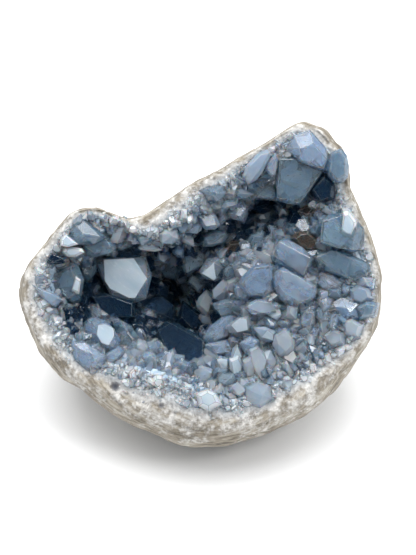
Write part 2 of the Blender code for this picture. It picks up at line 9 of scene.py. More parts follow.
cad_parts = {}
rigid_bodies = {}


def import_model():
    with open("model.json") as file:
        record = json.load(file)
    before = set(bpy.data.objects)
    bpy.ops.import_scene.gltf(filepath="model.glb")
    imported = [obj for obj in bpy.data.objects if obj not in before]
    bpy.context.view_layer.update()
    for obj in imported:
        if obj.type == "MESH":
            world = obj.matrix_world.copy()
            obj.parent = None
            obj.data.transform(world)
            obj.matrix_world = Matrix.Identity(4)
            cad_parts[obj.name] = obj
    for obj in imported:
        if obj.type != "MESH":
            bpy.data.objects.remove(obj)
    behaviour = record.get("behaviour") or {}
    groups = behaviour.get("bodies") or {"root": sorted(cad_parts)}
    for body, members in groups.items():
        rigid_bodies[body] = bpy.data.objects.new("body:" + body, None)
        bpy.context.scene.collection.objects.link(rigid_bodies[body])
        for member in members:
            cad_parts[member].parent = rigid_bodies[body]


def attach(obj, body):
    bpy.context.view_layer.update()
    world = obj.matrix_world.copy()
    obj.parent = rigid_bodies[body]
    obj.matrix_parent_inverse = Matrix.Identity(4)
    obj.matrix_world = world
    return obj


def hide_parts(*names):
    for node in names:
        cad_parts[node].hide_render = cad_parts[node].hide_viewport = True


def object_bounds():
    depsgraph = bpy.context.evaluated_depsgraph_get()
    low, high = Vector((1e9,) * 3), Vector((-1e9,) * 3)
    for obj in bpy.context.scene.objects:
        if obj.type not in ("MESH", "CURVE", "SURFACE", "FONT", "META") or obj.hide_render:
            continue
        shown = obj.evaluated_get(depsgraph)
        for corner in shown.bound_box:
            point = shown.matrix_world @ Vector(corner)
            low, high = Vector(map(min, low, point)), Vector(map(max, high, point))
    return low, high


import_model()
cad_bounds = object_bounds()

# Rock shell. One rounded cobble of beige-grey marl, worn smooth outside and broken open in front. The
# edge of the break is a rough band of pale sugary grains, wide below and narrow along the top, and the
# cobble rests on a small flat. It is one piece, shaped in rings round the mouth of the hollow.
MM = 0.001
TILT = math.radians(45.0)        # the mouth is turned up by this from facing the front
VIEW_DISTANCE = 500.0            # mm, where the rays meet along which the shapes are lined up
ORIGIN_Y, BASE_Z = 8.75, -64.0   # mm, the middle of the base in the tilted frame
BACK_DEPTH = 62.0                # mm from the widest section to the back
BACK_SQUARENESS = 2.5            # 2 is an ellipse, higher is boxier
CENTRE_V = -7.0                  # mm, height of the centre that the rings run round
ROCK_STEPS = 480                 # points round each ring
BACK_RINGS, EDGE_RINGS, RIM_RINGS = 59, 23, 43
WALL_SHARES = (0.985, 0.96, 0.93, 0.86, 0.73, 0.58, 0.43, 0.27, 0.12)    # its rings inside the hollow
EDGE_BAND = 0.25                 # share of the way across the rim that its rounded outer edge takes
BOWL_HEIGHT, BOWL_DEPTH = 7.0, 8.0       # mm, a level for the middle of the hollow, and how far it is sunk
BACK_LUMP_HEIGHT, BACK_LUMP_SIZE = 3.0, 34.0     # mm, the uneven back
RIND_LUMPS = ((0.8, 14.0), (0.5, 5.0))   # mm, height and size of the lumps on the worn rind
RIM_LUMPS = ((1.1, 9.0), (0.9, 3.6), (0.35, 1.6))        # the same on the broken rim
CELL = 2.4                       # mm, size of the sugary grains
STREAK = 0.22                    # scale of the stone's grain along the rings against across them
STREAK_RADIUS = 50.0             # mm, radius of the ring that the grain is drawn on

# The widest section of the shell, (u, v)
OUTLINE = [
    (74.8, -7.0), (75.2, 1.0), (74.4, 9.0), (72.3, 16.5), (69.4, 24.0), (66.5, 31.5), (63.2, 39.0),
    (61.8, 48.5), (59.2, 56.0), (55.0, 60.5), (51.0, 64.6), (45.5, 66.6), (41.5, 67.0), (30.0, 60.1),
    (20.0, 54.7), (12.0, 50.2), (5.6, 46.5), (-5.0, 40.7), (-13.6, 34.9), (-21.4, 30.0),
    (-25.7, 28.2), (-31.0, 27.6), (-37.0, 29.6), (-42.9, 31.8), (-52.1, 30.8), (-57.4, 26.1),
    (-61.9, 20.5), (-66.9, 14.7), (-71.9, 8.3), (-74.7, 0.8), (-75.2, -7.0), (-72.7, -14.7),
    (-69.8, -21.9), (-66.5, -28.6), (-61.9, -34.6), (-56.9, -39.9), (-50.4, -43.6), (-45.0, -47.6),
    (-35.1, -55.4), (-29.8, -58.5), (-18.2, -63.0), (-12.4, -65.8), (-6.4, -67.5), (6.4, -68.0),
    (19.0, -65.5), (31.4, -61.4), (43.3, -55.2), (48.9, -51.0), (54.5, -46.6), (58.7, -40.9),
    (63.2, -35.2), (67.8, -29.0), (71.4, -22.2), (73.9, -14.8)]

# Round the mouth: angle, where the rind ends and where the hollow begins as shares of the radius of
# the widest section, and how far the rim stands in front of that section (mm)
RIM = [
    (0, 0.97, 0.92, 7.0), (18, 0.97, 0.92, 6.0), (36, 0.96, 0.90, 5.0), (48, 0.96, 0.91, 4.0),
    (60, 0.96, 0.89, 5.0), (75, 0.95, 0.85, 7.0), (90, 0.94, 0.80, 8.0), (104, 0.93, 0.75, 8.0),
    (118, 0.93, 0.72, 7.0), (130, 0.94, 0.78, 6.0), (142, 0.96, 0.90, 5.0), (160, 0.97, 0.90, 6.0),
    (180, 0.95, 0.85, 8.0), (200, 0.92, 0.80, 10.0), (215, 0.89, 0.74, 13.0),
    (235, 0.84, 0.63, 16.0), (255, 0.81, 0.61, 18.0), (275, 0.82, 0.67, 18.0),
    (292, 0.86, 0.71, 17.0), (310, 0.84, 0.72, 15.0), (325, 0.86, 0.76, 12.0),
    (342, 0.94, 0.87, 9.0)]

# Pits (negative) and swellings (positive) of the hollow: u, v, height, spread along and across, turn
LUMPS = [
    (-7.5, -7.5, -35.0, 12.5, 16.5, 0.0), (-48.0, -2.0, -15.0, 13.0, 17.0, 0.0),
    (-29.0, 0.0, -13.0, 15.0, 12.0, 0.0), (24.0, 27.0, -19.0, 19.0, 8.0, 20.0),
    (37.0, -15.0, 4.0, 20.0, 16.0, 0.0)]


def place(u, v, w):
    """Part coordinates of what is seen at (u, v) mm on the mouth's plane and lies w mm in front of it."""
    scale = 1.0 - w / VIEW_DISTANCE
    u, v = u * scale, v * scale
    y = v * math.sin(TILT) - w * math.cos(TILT)
    z = v * math.cos(TILT) + w * math.sin(TILT)
    return Vector((u * MM, (y - ORIGIN_Y) * MM, (z - BASE_Z) * MM))


def around(rows, angle):
    """Value at an angle on a smooth closed curve through rows of (angle, value)."""
    count = len(rows)
    for i in range(count):
        a0, p0 = rows[i]
        a1, p1 = rows[(i + 1) % count]
        span = (a1 - a0) % 360.0
        s = (angle - a0) % 360.0
        if s <= span:
            before = rows[i - 1]
            after = rows[(i + 2) % count]
            m0 = (p1 - before[1]) / ((a1 - before[0]) % 360.0) * span
            m1 = (after[1] - p0) / ((after[0] - a0) % 360.0) * span
            t = s / span
            return ((2 * t**3 - 3 * t**2 + 1) * p0 + (t**3 - 2 * t**2 + t) * m0
                    + (3 * t**2 - 2 * t**3) * p1 + (t**3 - t**2) * m1)
    return rows[0][1]


RADII = sorted((math.degrees(math.atan2(v - CENTRE_V, u)) % 360.0, math.hypot(u, v - CENTRE_V))
               for u, v in OUTLINE)
RIND_END = [(row[0], row[1]) for row in RIM]
HOLLOW_START = [(row[0], row[2]) for row in RIM]
RIM_HEIGHT = [(row[0], row[3]) for row in RIM]
TURNS = np.arange(0.0, 360.0, 0.5)
CURVES = {key: np.array([around(rows, a) for a in TURNS]) for key, rows in
          (("radius", RADII), ("rind", RIND_END), ("hollow", HOLLOW_START), ("height", RIM_HEIGHT))}


def curve(key, angles):
    """One of the curves round the mouth, read at some angles."""
    return np.interp(angles, TURNS, CURVES[key], period=360.0)


def wall(u, v):
    """Depth of the hollow's wall in mm, and how far out the point is (1 at the mouth's edge)."""
    u, v = np.asarray(u, float), np.asarray(v, float)
    angle = np.degrees(np.arctan2(v - CENTRE_V, u)) % 360.0
    reach = np.hypot(u, v - CENTRE_V) / (curve("radius", angle) * curve("hollow", angle))
    inside = np.minimum(reach, 1.0)
    depth = curve("height", angle) * inside**2 + BOWL_HEIGHT * (1.0 - inside**2)
    depth = depth - BOWL_DEPTH * (1.0 - inside**5)
    lumps = 0.0
    for cu, cv, height, along, across, turn in LUMPS:
        c, s = math.cos(math.radians(turn)), math.sin(math.radians(turn))
        p = ((u - cu) * c + (v - cv) * s) / along
        q = (-(u - cu) * s + (v - cv) * c) / across
        lumps = lumps + height * np.exp(-0.5 * (p * p + q * q))
    return depth + lumps * (1.0 - inside**8), reach


def ring_faces(rows, steps):
    """Faces between neighbouring rings of steps points, closed by a point at each end."""
    faces = [(0, 1 + i, 1 + (i + 1) % steps) for i in range(steps)]
    for k in range(rows - 1):
        a, b = 1 + k * steps, 1 + (k + 1) * steps
        faces += [(a + i, b + i, b + (i + 1) % steps, a + (i + 1) % steps) for i in range(steps)]
    last, a = 1 + rows * steps, 1 + (rows - 1) * steps
    return faces + [(a + i, last, a + (i + 1) % steps) for i in range(steps)]


LOW, HIGH = (np.array(corner) for corner in cad_bounds)


def keep_in_size(data):
    """Holds the few points that stand out of the part's size at its box."""
    points = np.empty(len(data.vertices) * 3)
    data.vertices.foreach_get("co", points)
    data.vertices.foreach_set("co", np.clip(points.reshape(-1, 3), LOW, HIGH).ravel())
    data.update()


def make_piece(name, points, faces, smooth=True):
    """A mesh piece with its faces pointing outwards."""
    data = bpy.data.meshes.new(name)
    data.from_pydata([tuple(p) for p in points], [], faces)
    mesh = bmesh.new()
    mesh.from_mesh(data)
    bmesh.ops.recalc_face_normals(mesh, faces=mesh.faces)
    if mesh.calc_volume(signed=True) < 0.0:
        bmesh.ops.reverse_faces(mesh, faces=mesh.faces)
    for face in mesh.faces:
        face.smooth = smooth
    mesh.to_mesh(data)
    mesh.free()
    piece = bpy.data.objects.new(name, data)
    bpy.context.collection.objects.link(piece)
    return piece


def add_values(piece, name, values):
    """Stores a number or a vector for each point of the mesh, for a material to read."""
    values = np.asarray(values, np.float32)
    if values.ndim == 2:
        layer = piece.data.attributes.new(name, "FLOAT_VECTOR", "POINT")
        layer.data.foreach_set("vector", values.ravel())
    else:
        layer = piece.data.attributes.new(name, "FLOAT", "POINT")
        layer.data.foreach_set("value", values)


def grain(u, v, w, size):
    """Smooth noise, about -1 to 1, whose lumps have a size in mm."""
    return noise.noise(Vector((u / size, v / size, w / size + 3.0)))


def lumps_at(u, v, w, lumps):
    """Height in mm of lumps that are given as (height, size)."""
    return sum(height * grain(u, v, w, size) for height, size in lumps)


angles = np.arange(ROCK_STEPS) * 360.0 / ROCK_STEPS
directions = np.stack([np.cos(np.radians(angles)), np.sin(np.radians(angles))])
outer = curve("radius", angles)
rind, start, height = curve("rind", angles), curve("hollow", angles), curve("height", angles)
sheet = []                       # rings of (u, v, w, how much of it is broken rim, how far across the rim)
power = 2.0 / BACK_SQUARENESS
for turn in np.linspace(0.0, 1.0, BACK_RINGS + 1)[1:] * math.pi / 2:
    share = math.sin(turn)**power
    deep = math.cos(turn)**power if turn < 1.57 else 0.0
    u, v = directions * outer * share
    lump = np.array([grain(a, b + CENTRE_V, -BACK_DEPTH * deep, BACK_LUMP_SIZE) for a, b in zip(u, v)])
    sheet.append((u, v + CENTRE_V, -BACK_DEPTH * deep + BACK_LUMP_HEIGHT * deep * lump, 0.0, -deep))
for turn in np.linspace(0.0, 1.0, EDGE_RINGS + 1)[1:] * math.pi / 2:
    u, v = directions * outer * (1.0 - (1.0 - rind) * (1.0 - math.cos(turn)))
    sheet.append((u, v + CENTRE_V, height * math.sin(turn), max(0.0, turn - 0.5), EDGE_BAND * math.sin(turn)))
for share in np.linspace(0.0, 1.0, RIM_RINGS + 1)[1:]:
    u, v = directions * outer * (rind + (start - rind) * share)
    sheet.append((u, v + CENTRE_V, height + 0.0 * u, 1.0, EDGE_BAND + (1.0 - EDGE_BAND) * share))
for share in WALL_SHARES:
    u, v = directions * outer * start * share
    sheet.append((u, v + CENTRE_V, wall(u, v + CENTRE_V)[0], 1.0, 1.0))

# Pits in the rim: middle (u, v), radius and depth in mm
PITS = [
    (-35.5, -42.5, 2.1, 1.6), (-16.5, -50.5, 1.4, 1.2), (-11.0, -53.5, 1.0, 0.8), (-33.5, -50.0, 0.9, 0.8),
    (-31.0, -45.5, 1.0, 0.8), (-6.0, -60.5, 1.0, 0.8), (-17.0, -39.0, 1.4, 1.2), (-23.0, -43.0, 1.1, 0.8),
    (-45.5, -33.0, 1.0, 0.7), (-64.5, -12.0, 1.2, 0.8), (-50.0, 26.5, 1.2, 0.8), (40.0, -40.0, 1.0, 0.7)]
points = [place(0.0, CENTRE_V, -BACK_DEPTH)]
across, pitted, rings = [-1.0], [0.0], [(0.0, 0.0, -BACK_DEPTH, 0.0)]
for u, v, w, share, band in sheet:
    share = min(1.0, share)
    for a, b, c in zip(u, v, w):
        rough = lumps_at(a, b, c, RIM_LUMPS)
        cells = noise.voronoi(Vector((a, b, c)) / CELL)[0]
        chips = 1.4 * (cells[1] - cells[0]) - 0.4
        ground = lumps_at(a, b, c, RIND_LUMPS) - 0.9 * max(0.0, grain(a, b, c, 2.2) - 0.28)
        pit = max(max(0.0, 1.0 - math.hypot(a - pu, b - pv) / r)**0.5 * deep for pu, pv, r, deep in PITS)
        pit *= share
        outwards = math.hypot(a, b - CENTRE_V) or 1.0
        rings.append((STREAK * STREAK_RADIUS * a / outwards,
                      STREAK * STREAK_RADIUS * (b - CENTRE_V) / outwards, c, outwards))
        c += share * (rough + 0.35 * (0.3 + band) * chips - 1.1) - pit
        inward = (1.0 - share) * (0.6 - ground) / 60.0
        a, b = a * (1.0 - inward), CENTRE_V + (b - CENTRE_V) * (1.0 - inward)
        points.append(place(a, b, c))
        across.append(band)
        pitted.append(pit)
points.append(place(0.0, CENTRE_V, wall(0.0, CENTRE_V)[0]))
across.append(1.0)
pitted.append(0.0)
rings.append((0.0, 0.0, 0.0, 0.0))
for point in points:
    point.z = max(point.z, 0.0)
rock_rind = make_piece("rock_rind", points, ring_faces(len(sheet), ROCK_STEPS))
add_values(rock_rind, "across", across)
add_values(rock_rind, "pit", pitted)
rings = np.array(rings) * MM
add_values(rock_rind, "radius", rings[:, 3])
add_values(rock_rind, "ring", rings[:, :3])
keep_in_size(rock_rind.data)


def colour(code):
    """Linear colour from an sRGB hex code."""
    parts = [int(code[i:i + 2], 16) / 255.0 for i in (1, 3, 5)]
    return (*[p / 12.92 if p <= 0.04045 else ((p + 0.055) / 1.055)**2.4 for p in parts], 1.0)


def add_node(tree, kind, settings=None, sockets=None, stops=()):
    """Adds a node, sets its properties and colour stops, and sets or links its inputs by name or number."""
    made = tree.nodes.new(kind)
    for name, value in (settings or {}).items():
        setattr(made, name, value)
    for count, (position, code) in enumerate(stops):
        element = made.color_ramp.elements[count] if count < 2 else made.color_ramp.elements.new(position)
        element.position = position
        element.color = colour(code)
    for key, value in (sockets or {}).items():
        if isinstance(value, bpy.types.NodeSocket):
            tree.links.new(value, made.inputs[key])
        else:
            made.inputs[key].default_value = value
    return made


def new_material(name):
    """A new material, its node tree and its shader."""
    made = bpy.data.materials.new(name)
    made.use_nodes = True
    tree = made.node_tree
    return made, tree, tree.nodes["Principled BSDF"]


# Marl matrix, tumbled smooth: matt, beige grey, with fine streaks that run round the stone and dark
# specks. Inwards it passes into a worn crust of white celestite grain and, at the hollow, to grey blue.
marl, tree, shader = new_material("tumbled marl with a broken celestite rim")
ring = add_node(tree, "ShaderNodeAttribute", {"attribute_name": "ring"}).outputs["Vector"]
radius = add_node(tree, "ShaderNodeAttribute", {"attribute_name": "radius"}).outputs["Fac"]
band = add_node(tree, "ShaderNodeAttribute", {"attribute_name": "across"}).outputs["Fac"]
pit = add_node(tree, "ShaderNodeAttribute", {"attribute_name": "pit"}).outputs["Fac"]
spot = add_node(tree, "ShaderNodeTexCoord").outputs["Object"]
streak = add_node(tree, "ShaderNodeTexNoise", {"noise_dimensions": "4D"}, {
    "Vector": ring, "W": radius, "Scale": 1.0 / (2.0 * MM), "Detail": 5.0, "Roughness": 0.7}).outputs["Fac"]
patch = add_node(tree, "ShaderNodeTexNoise", None, {
    "Vector": spot, "Scale": 1.0 / (7.0 * MM), "Detail": 4.0, "Roughness": 0.6}).outputs["Fac"]
speck = add_node(tree, "ShaderNodeTexNoise", None, {
    "Vector": spot, "Scale": 1.0 / (1.5 * MM), "Detail": 4.0, "Roughness": 0.65}).outputs["Fac"]
rind_tone = add_node(tree, "ShaderNodeValToRGB", None, {"Fac": patch}, [
    (0.3, "#6E6556"), (0.7, "#9A9283"), (0.5, "#857C6D")]).outputs["Color"]
rind_streak = add_node(tree, "ShaderNodeValToRGB", None, {"Fac": streak}, [
    (0.36, "#3A342A"), (0.64, "#BDB7AA"), (0.46, "#756D5F"), (0.54, "#968E80")]).outputs["Color"]
rind_colour = add_node(tree, "ShaderNodeMix", {"data_type": "RGBA"},
                       {0: 0.75, 6: rind_tone, 7: rind_streak}).outputs[2]
crust_tone = add_node(tree, "ShaderNodeValToRGB", None, {"Fac": patch}, [
    (0.35, "#94979B"), (0.66, "#CFCBC3"), (0.5, "#B3B1AD")]).outputs["Color"]
crust_grain = add_node(tree, "ShaderNodeValToRGB", None, {"Fac": speck}, [
    (0.33, "#5E6167"), (0.62, "#E2E0DC"), (0.4, "#999B9E"), (0.5, "#BAB9B8")]).outputs["Color"]
crust_colour = add_node(tree, "ShaderNodeMix", {"data_type": "RGBA"},
                        {0: 0.48, 6: crust_tone, 7: crust_grain}).outputs[2]
inner_colour = add_node(tree, "ShaderNodeValToRGB", None, {"Fac": speck}, [
    (0.35, "#4B5A69"), (0.62, "#B4C0CA"), (0.45, "#6B7A89"), (0.54, "#8797A5")]).outputs["Color"]
wander = add_node(tree, "ShaderNodeMath", {"operation": "MULTIPLY_ADD"},
                  {0: patch, 1: 1.1, 2: -0.55}).outputs[0]
ragged = add_node(tree, "ShaderNodeMath", {"operation": "MULTIPLY_ADD"},
                  {0: speck, 1: 0.5, 2: wander}).outputs[0]
level = add_node(tree, "ShaderNodeMath", {"operation": "ADD"}, {0: band, 1: ragged}).outputs[0]
to_crust = add_node(tree, "ShaderNodeMapRange", {"interpolation_type": "SMOOTHSTEP"},
                    {0: level, 1: 0.34, 2: 0.68}).outputs[0]
to_inner = add_node(tree, "ShaderNodeMapRange", {"interpolation_type": "SMOOTHSTEP"},
                    {0: level, 1: 0.6, 2: 1.2}).outputs[0]
outer_part = add_node(tree, "ShaderNodeMix", {"data_type": "RGBA"},
                      {0: to_crust, 6: rind_colour, 7: crust_colour}).outputs[2]
whole = add_node(tree, "ShaderNodeMix", {"data_type": "RGBA"},
                 {0: to_inner, 6: outer_part, 7: inner_colour}).outputs[2]
# Painted shade: the pits in the rim are coloured dark grey blue on top of their real depth.
pit_shade = add_node(tree, "ShaderNodeMath", {"operation": "MULTIPLY", "use_clamp": True},
                  {0: pit, 1: 0.7}).outputs[0]
with_pit_shade = add_node(tree, "ShaderNodeMix", {"data_type": "RGBA"},
                     {0: pit_shade, 6: whole, 7: colour("#4A4E58")}).outputs[2]
tree.links.new(with_pit_shade, shader.inputs["Base Color"])
shader.inputs["Roughness"].default_value = 0.7
relief = add_node(tree, "ShaderNodeMath", {"operation": "ADD"}, {0: streak, 1: speck}).outputs[0]
bump = add_node(tree, "ShaderNodeBump", None, {"Strength": 0.7, "Distance": 0.5 * MM, "Height": relief})
tree.links.new(bump.outputs["Normal"], shader.inputs["Normal"])
rock_rind.data.materials.append(marl)
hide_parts("rock_shell")
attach(rock_rind, "root")

# Crystal bed. The grown-together crust of small celestite that covers the whole wall of the hollow,
# two to three millimetres thick, pale blue grey near the mouth. In the deep parts and in some patches
# it is coloured near black blue, which is painted shade.
BED_STEPS = 330                  # points round each ring
UNDER_ROWS, TOP_ROWS = 20, 83    # rings of points on its underside and on its top
BED_LIFT = 2.2                   # mm, mean height of the bed above the rock
BED_SUNK = 1.0                   # mm, how deep its underside lies in the rock
BED_REACH = 1.04                 # how far out it runs, against the edge of the hollow
DIP_FROM, DIP_RATE = 0.955, 22.0     # where it dips into the rim, and how steeply
DRUSE_REACH = 0.96               # how far out druse stands on it
DARK_FROM, DARK_OVER = 1.0, 16.0     # mm, the wall's level where the bed's painted shade starts, and over what depth it grows

# Patches of painted shade on the wall, in the alcove, round the pit and in other dark gaps: middle (u, v) and
# radius in mm
PAINTED_SHADE_PATCHES = [(-52, -14, 9), (-26, -15, 11), (-21, -1, 11), (-38, 9, 8), (22, 24, 15), (-4, -16, 9)]


def painted_shade_at(u, v):
    """How far a place on the wall lies in one of the patches of painted shade, 0 to 1."""
    return max(min(1.0, max(0.0, 2.0 - 2.0 * math.hypot(u - a, v - b) / c)) for a, b, c in PAINTED_SHADE_PATCHES)


angles = np.arange(BED_STEPS) * 360.0 / BED_STEPS
directions = np.stack([np.cos(np.radians(angles)), np.sin(np.radians(angles))])
edge_radius = curve("radius", angles) * curve("hollow", angles)
middle = wall(0.0, CENTRE_V)[0]
points = [place(0.0, CENTRE_V, middle - BED_SUNK)]
for share in np.linspace(0.05, 0.985, UNDER_ROWS):
    u, v = directions * edge_radius * share
    points += [place(a, b + CENTRE_V, c - BED_SUNK) for a, b, c in zip(u, v, wall(u, v + CENTRE_V)[0])]
painted_shade, cover = [0.0] * len(points), [0.0] * len(points)
for share in np.linspace(BED_REACH, 0.0, TOP_ROWS + 1)[:-1]:
    u, v = directions * edge_radius * share
    depth, reach = wall(u, v + CENTRE_V)
    for a, b, c in zip(u, v + CENTRE_V, depth):
        cells = noise.voronoi(Vector((a, b, c)) / CELL)[0]
        facet = cells[1] - cells[0] + 0.7 * grain(a, b, c, 5.0)
        lift = max(-1.0, min(1.0, (DIP_FROM - share) * DIP_RATE)) * (BED_LIFT + facet)
        points.append(place(a, b, c + lift))
        # Painted shade: the lower the wall lies, and the further inside a shaded patch, the darker the bed is
        # coloured.
        painted_shade.append(max(painted_shade_at(a, b), min(1.0, max(0.0, (DARK_FROM - c) / DARK_OVER))))
        cover.append(1.0 if share < DRUSE_REACH else 0.0)
points.append(place(0.0, CENTRE_V, middle + BED_LIFT))
painted_shade.append(1.0)
cover.append(1.0)
crystal_bed = make_piece("crystal_bed", points, ring_faces(UNDER_ROWS + TOP_ROWS, BED_STEPS), False)
add_values(crystal_bed, "deep", painted_shade)
add_values(crystal_bed, "cover", cover)

# Drusy celestite: glossy little faces, cloudy and nearly opaque in the mass, pale blue grey, with painted
# shade of near black blue in the deep parts
druse, tree, shader = new_material("drusy celestite")
deep = add_node(tree, "ShaderNodeAttribute", {"attribute_name": "deep"}).outputs["Fac"]
spot = add_node(tree, "ShaderNodeTexCoord").outputs["Object"]
grains = add_node(tree, "ShaderNodeTexNoise", None, {
    "Vector": spot, "Scale": 1.0 / (2.6 * MM), "Detail": 3.0, "Roughness": 0.6}).outputs["Fac"]
near = add_node(tree, "ShaderNodeValToRGB", None, {"Fac": grains}, [
    (0.32, "#6F879B"), (0.66, "#C3D1DD"), (0.5, "#93A8BA")]).outputs["Color"]
# Painted shade: the near black blue that the deep parts and the shaded patches take.
far = add_node(tree, "ShaderNodeValToRGB", None, {"Fac": grains}, [
    (0.35, "#071420"), (0.7, "#24384C"), (0.55, "#10253A")]).outputs["Color"]
mass = add_node(tree, "ShaderNodeMix", {"data_type": "RGBA"}, {0: deep, 6: near, 7: far}).outputs[2]
tree.links.new(mass, shader.inputs["Base Color"])
shader.inputs["Roughness"].default_value = 0.3
shader.inputs["IOR"].default_value = 1.62
crystal_bed.data.materials.append(druse)
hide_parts("crystal_crust")
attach(crystal_bed, "root")

# Large crystals. The celestite crystals that can be told apart: blocky prisms of 4 to 25 mm, each grown
# from the wall with its own outline and front face. They are clear, with chipped edges, and a cloudy
# zone in each, its heart, carries most of their pale blue.

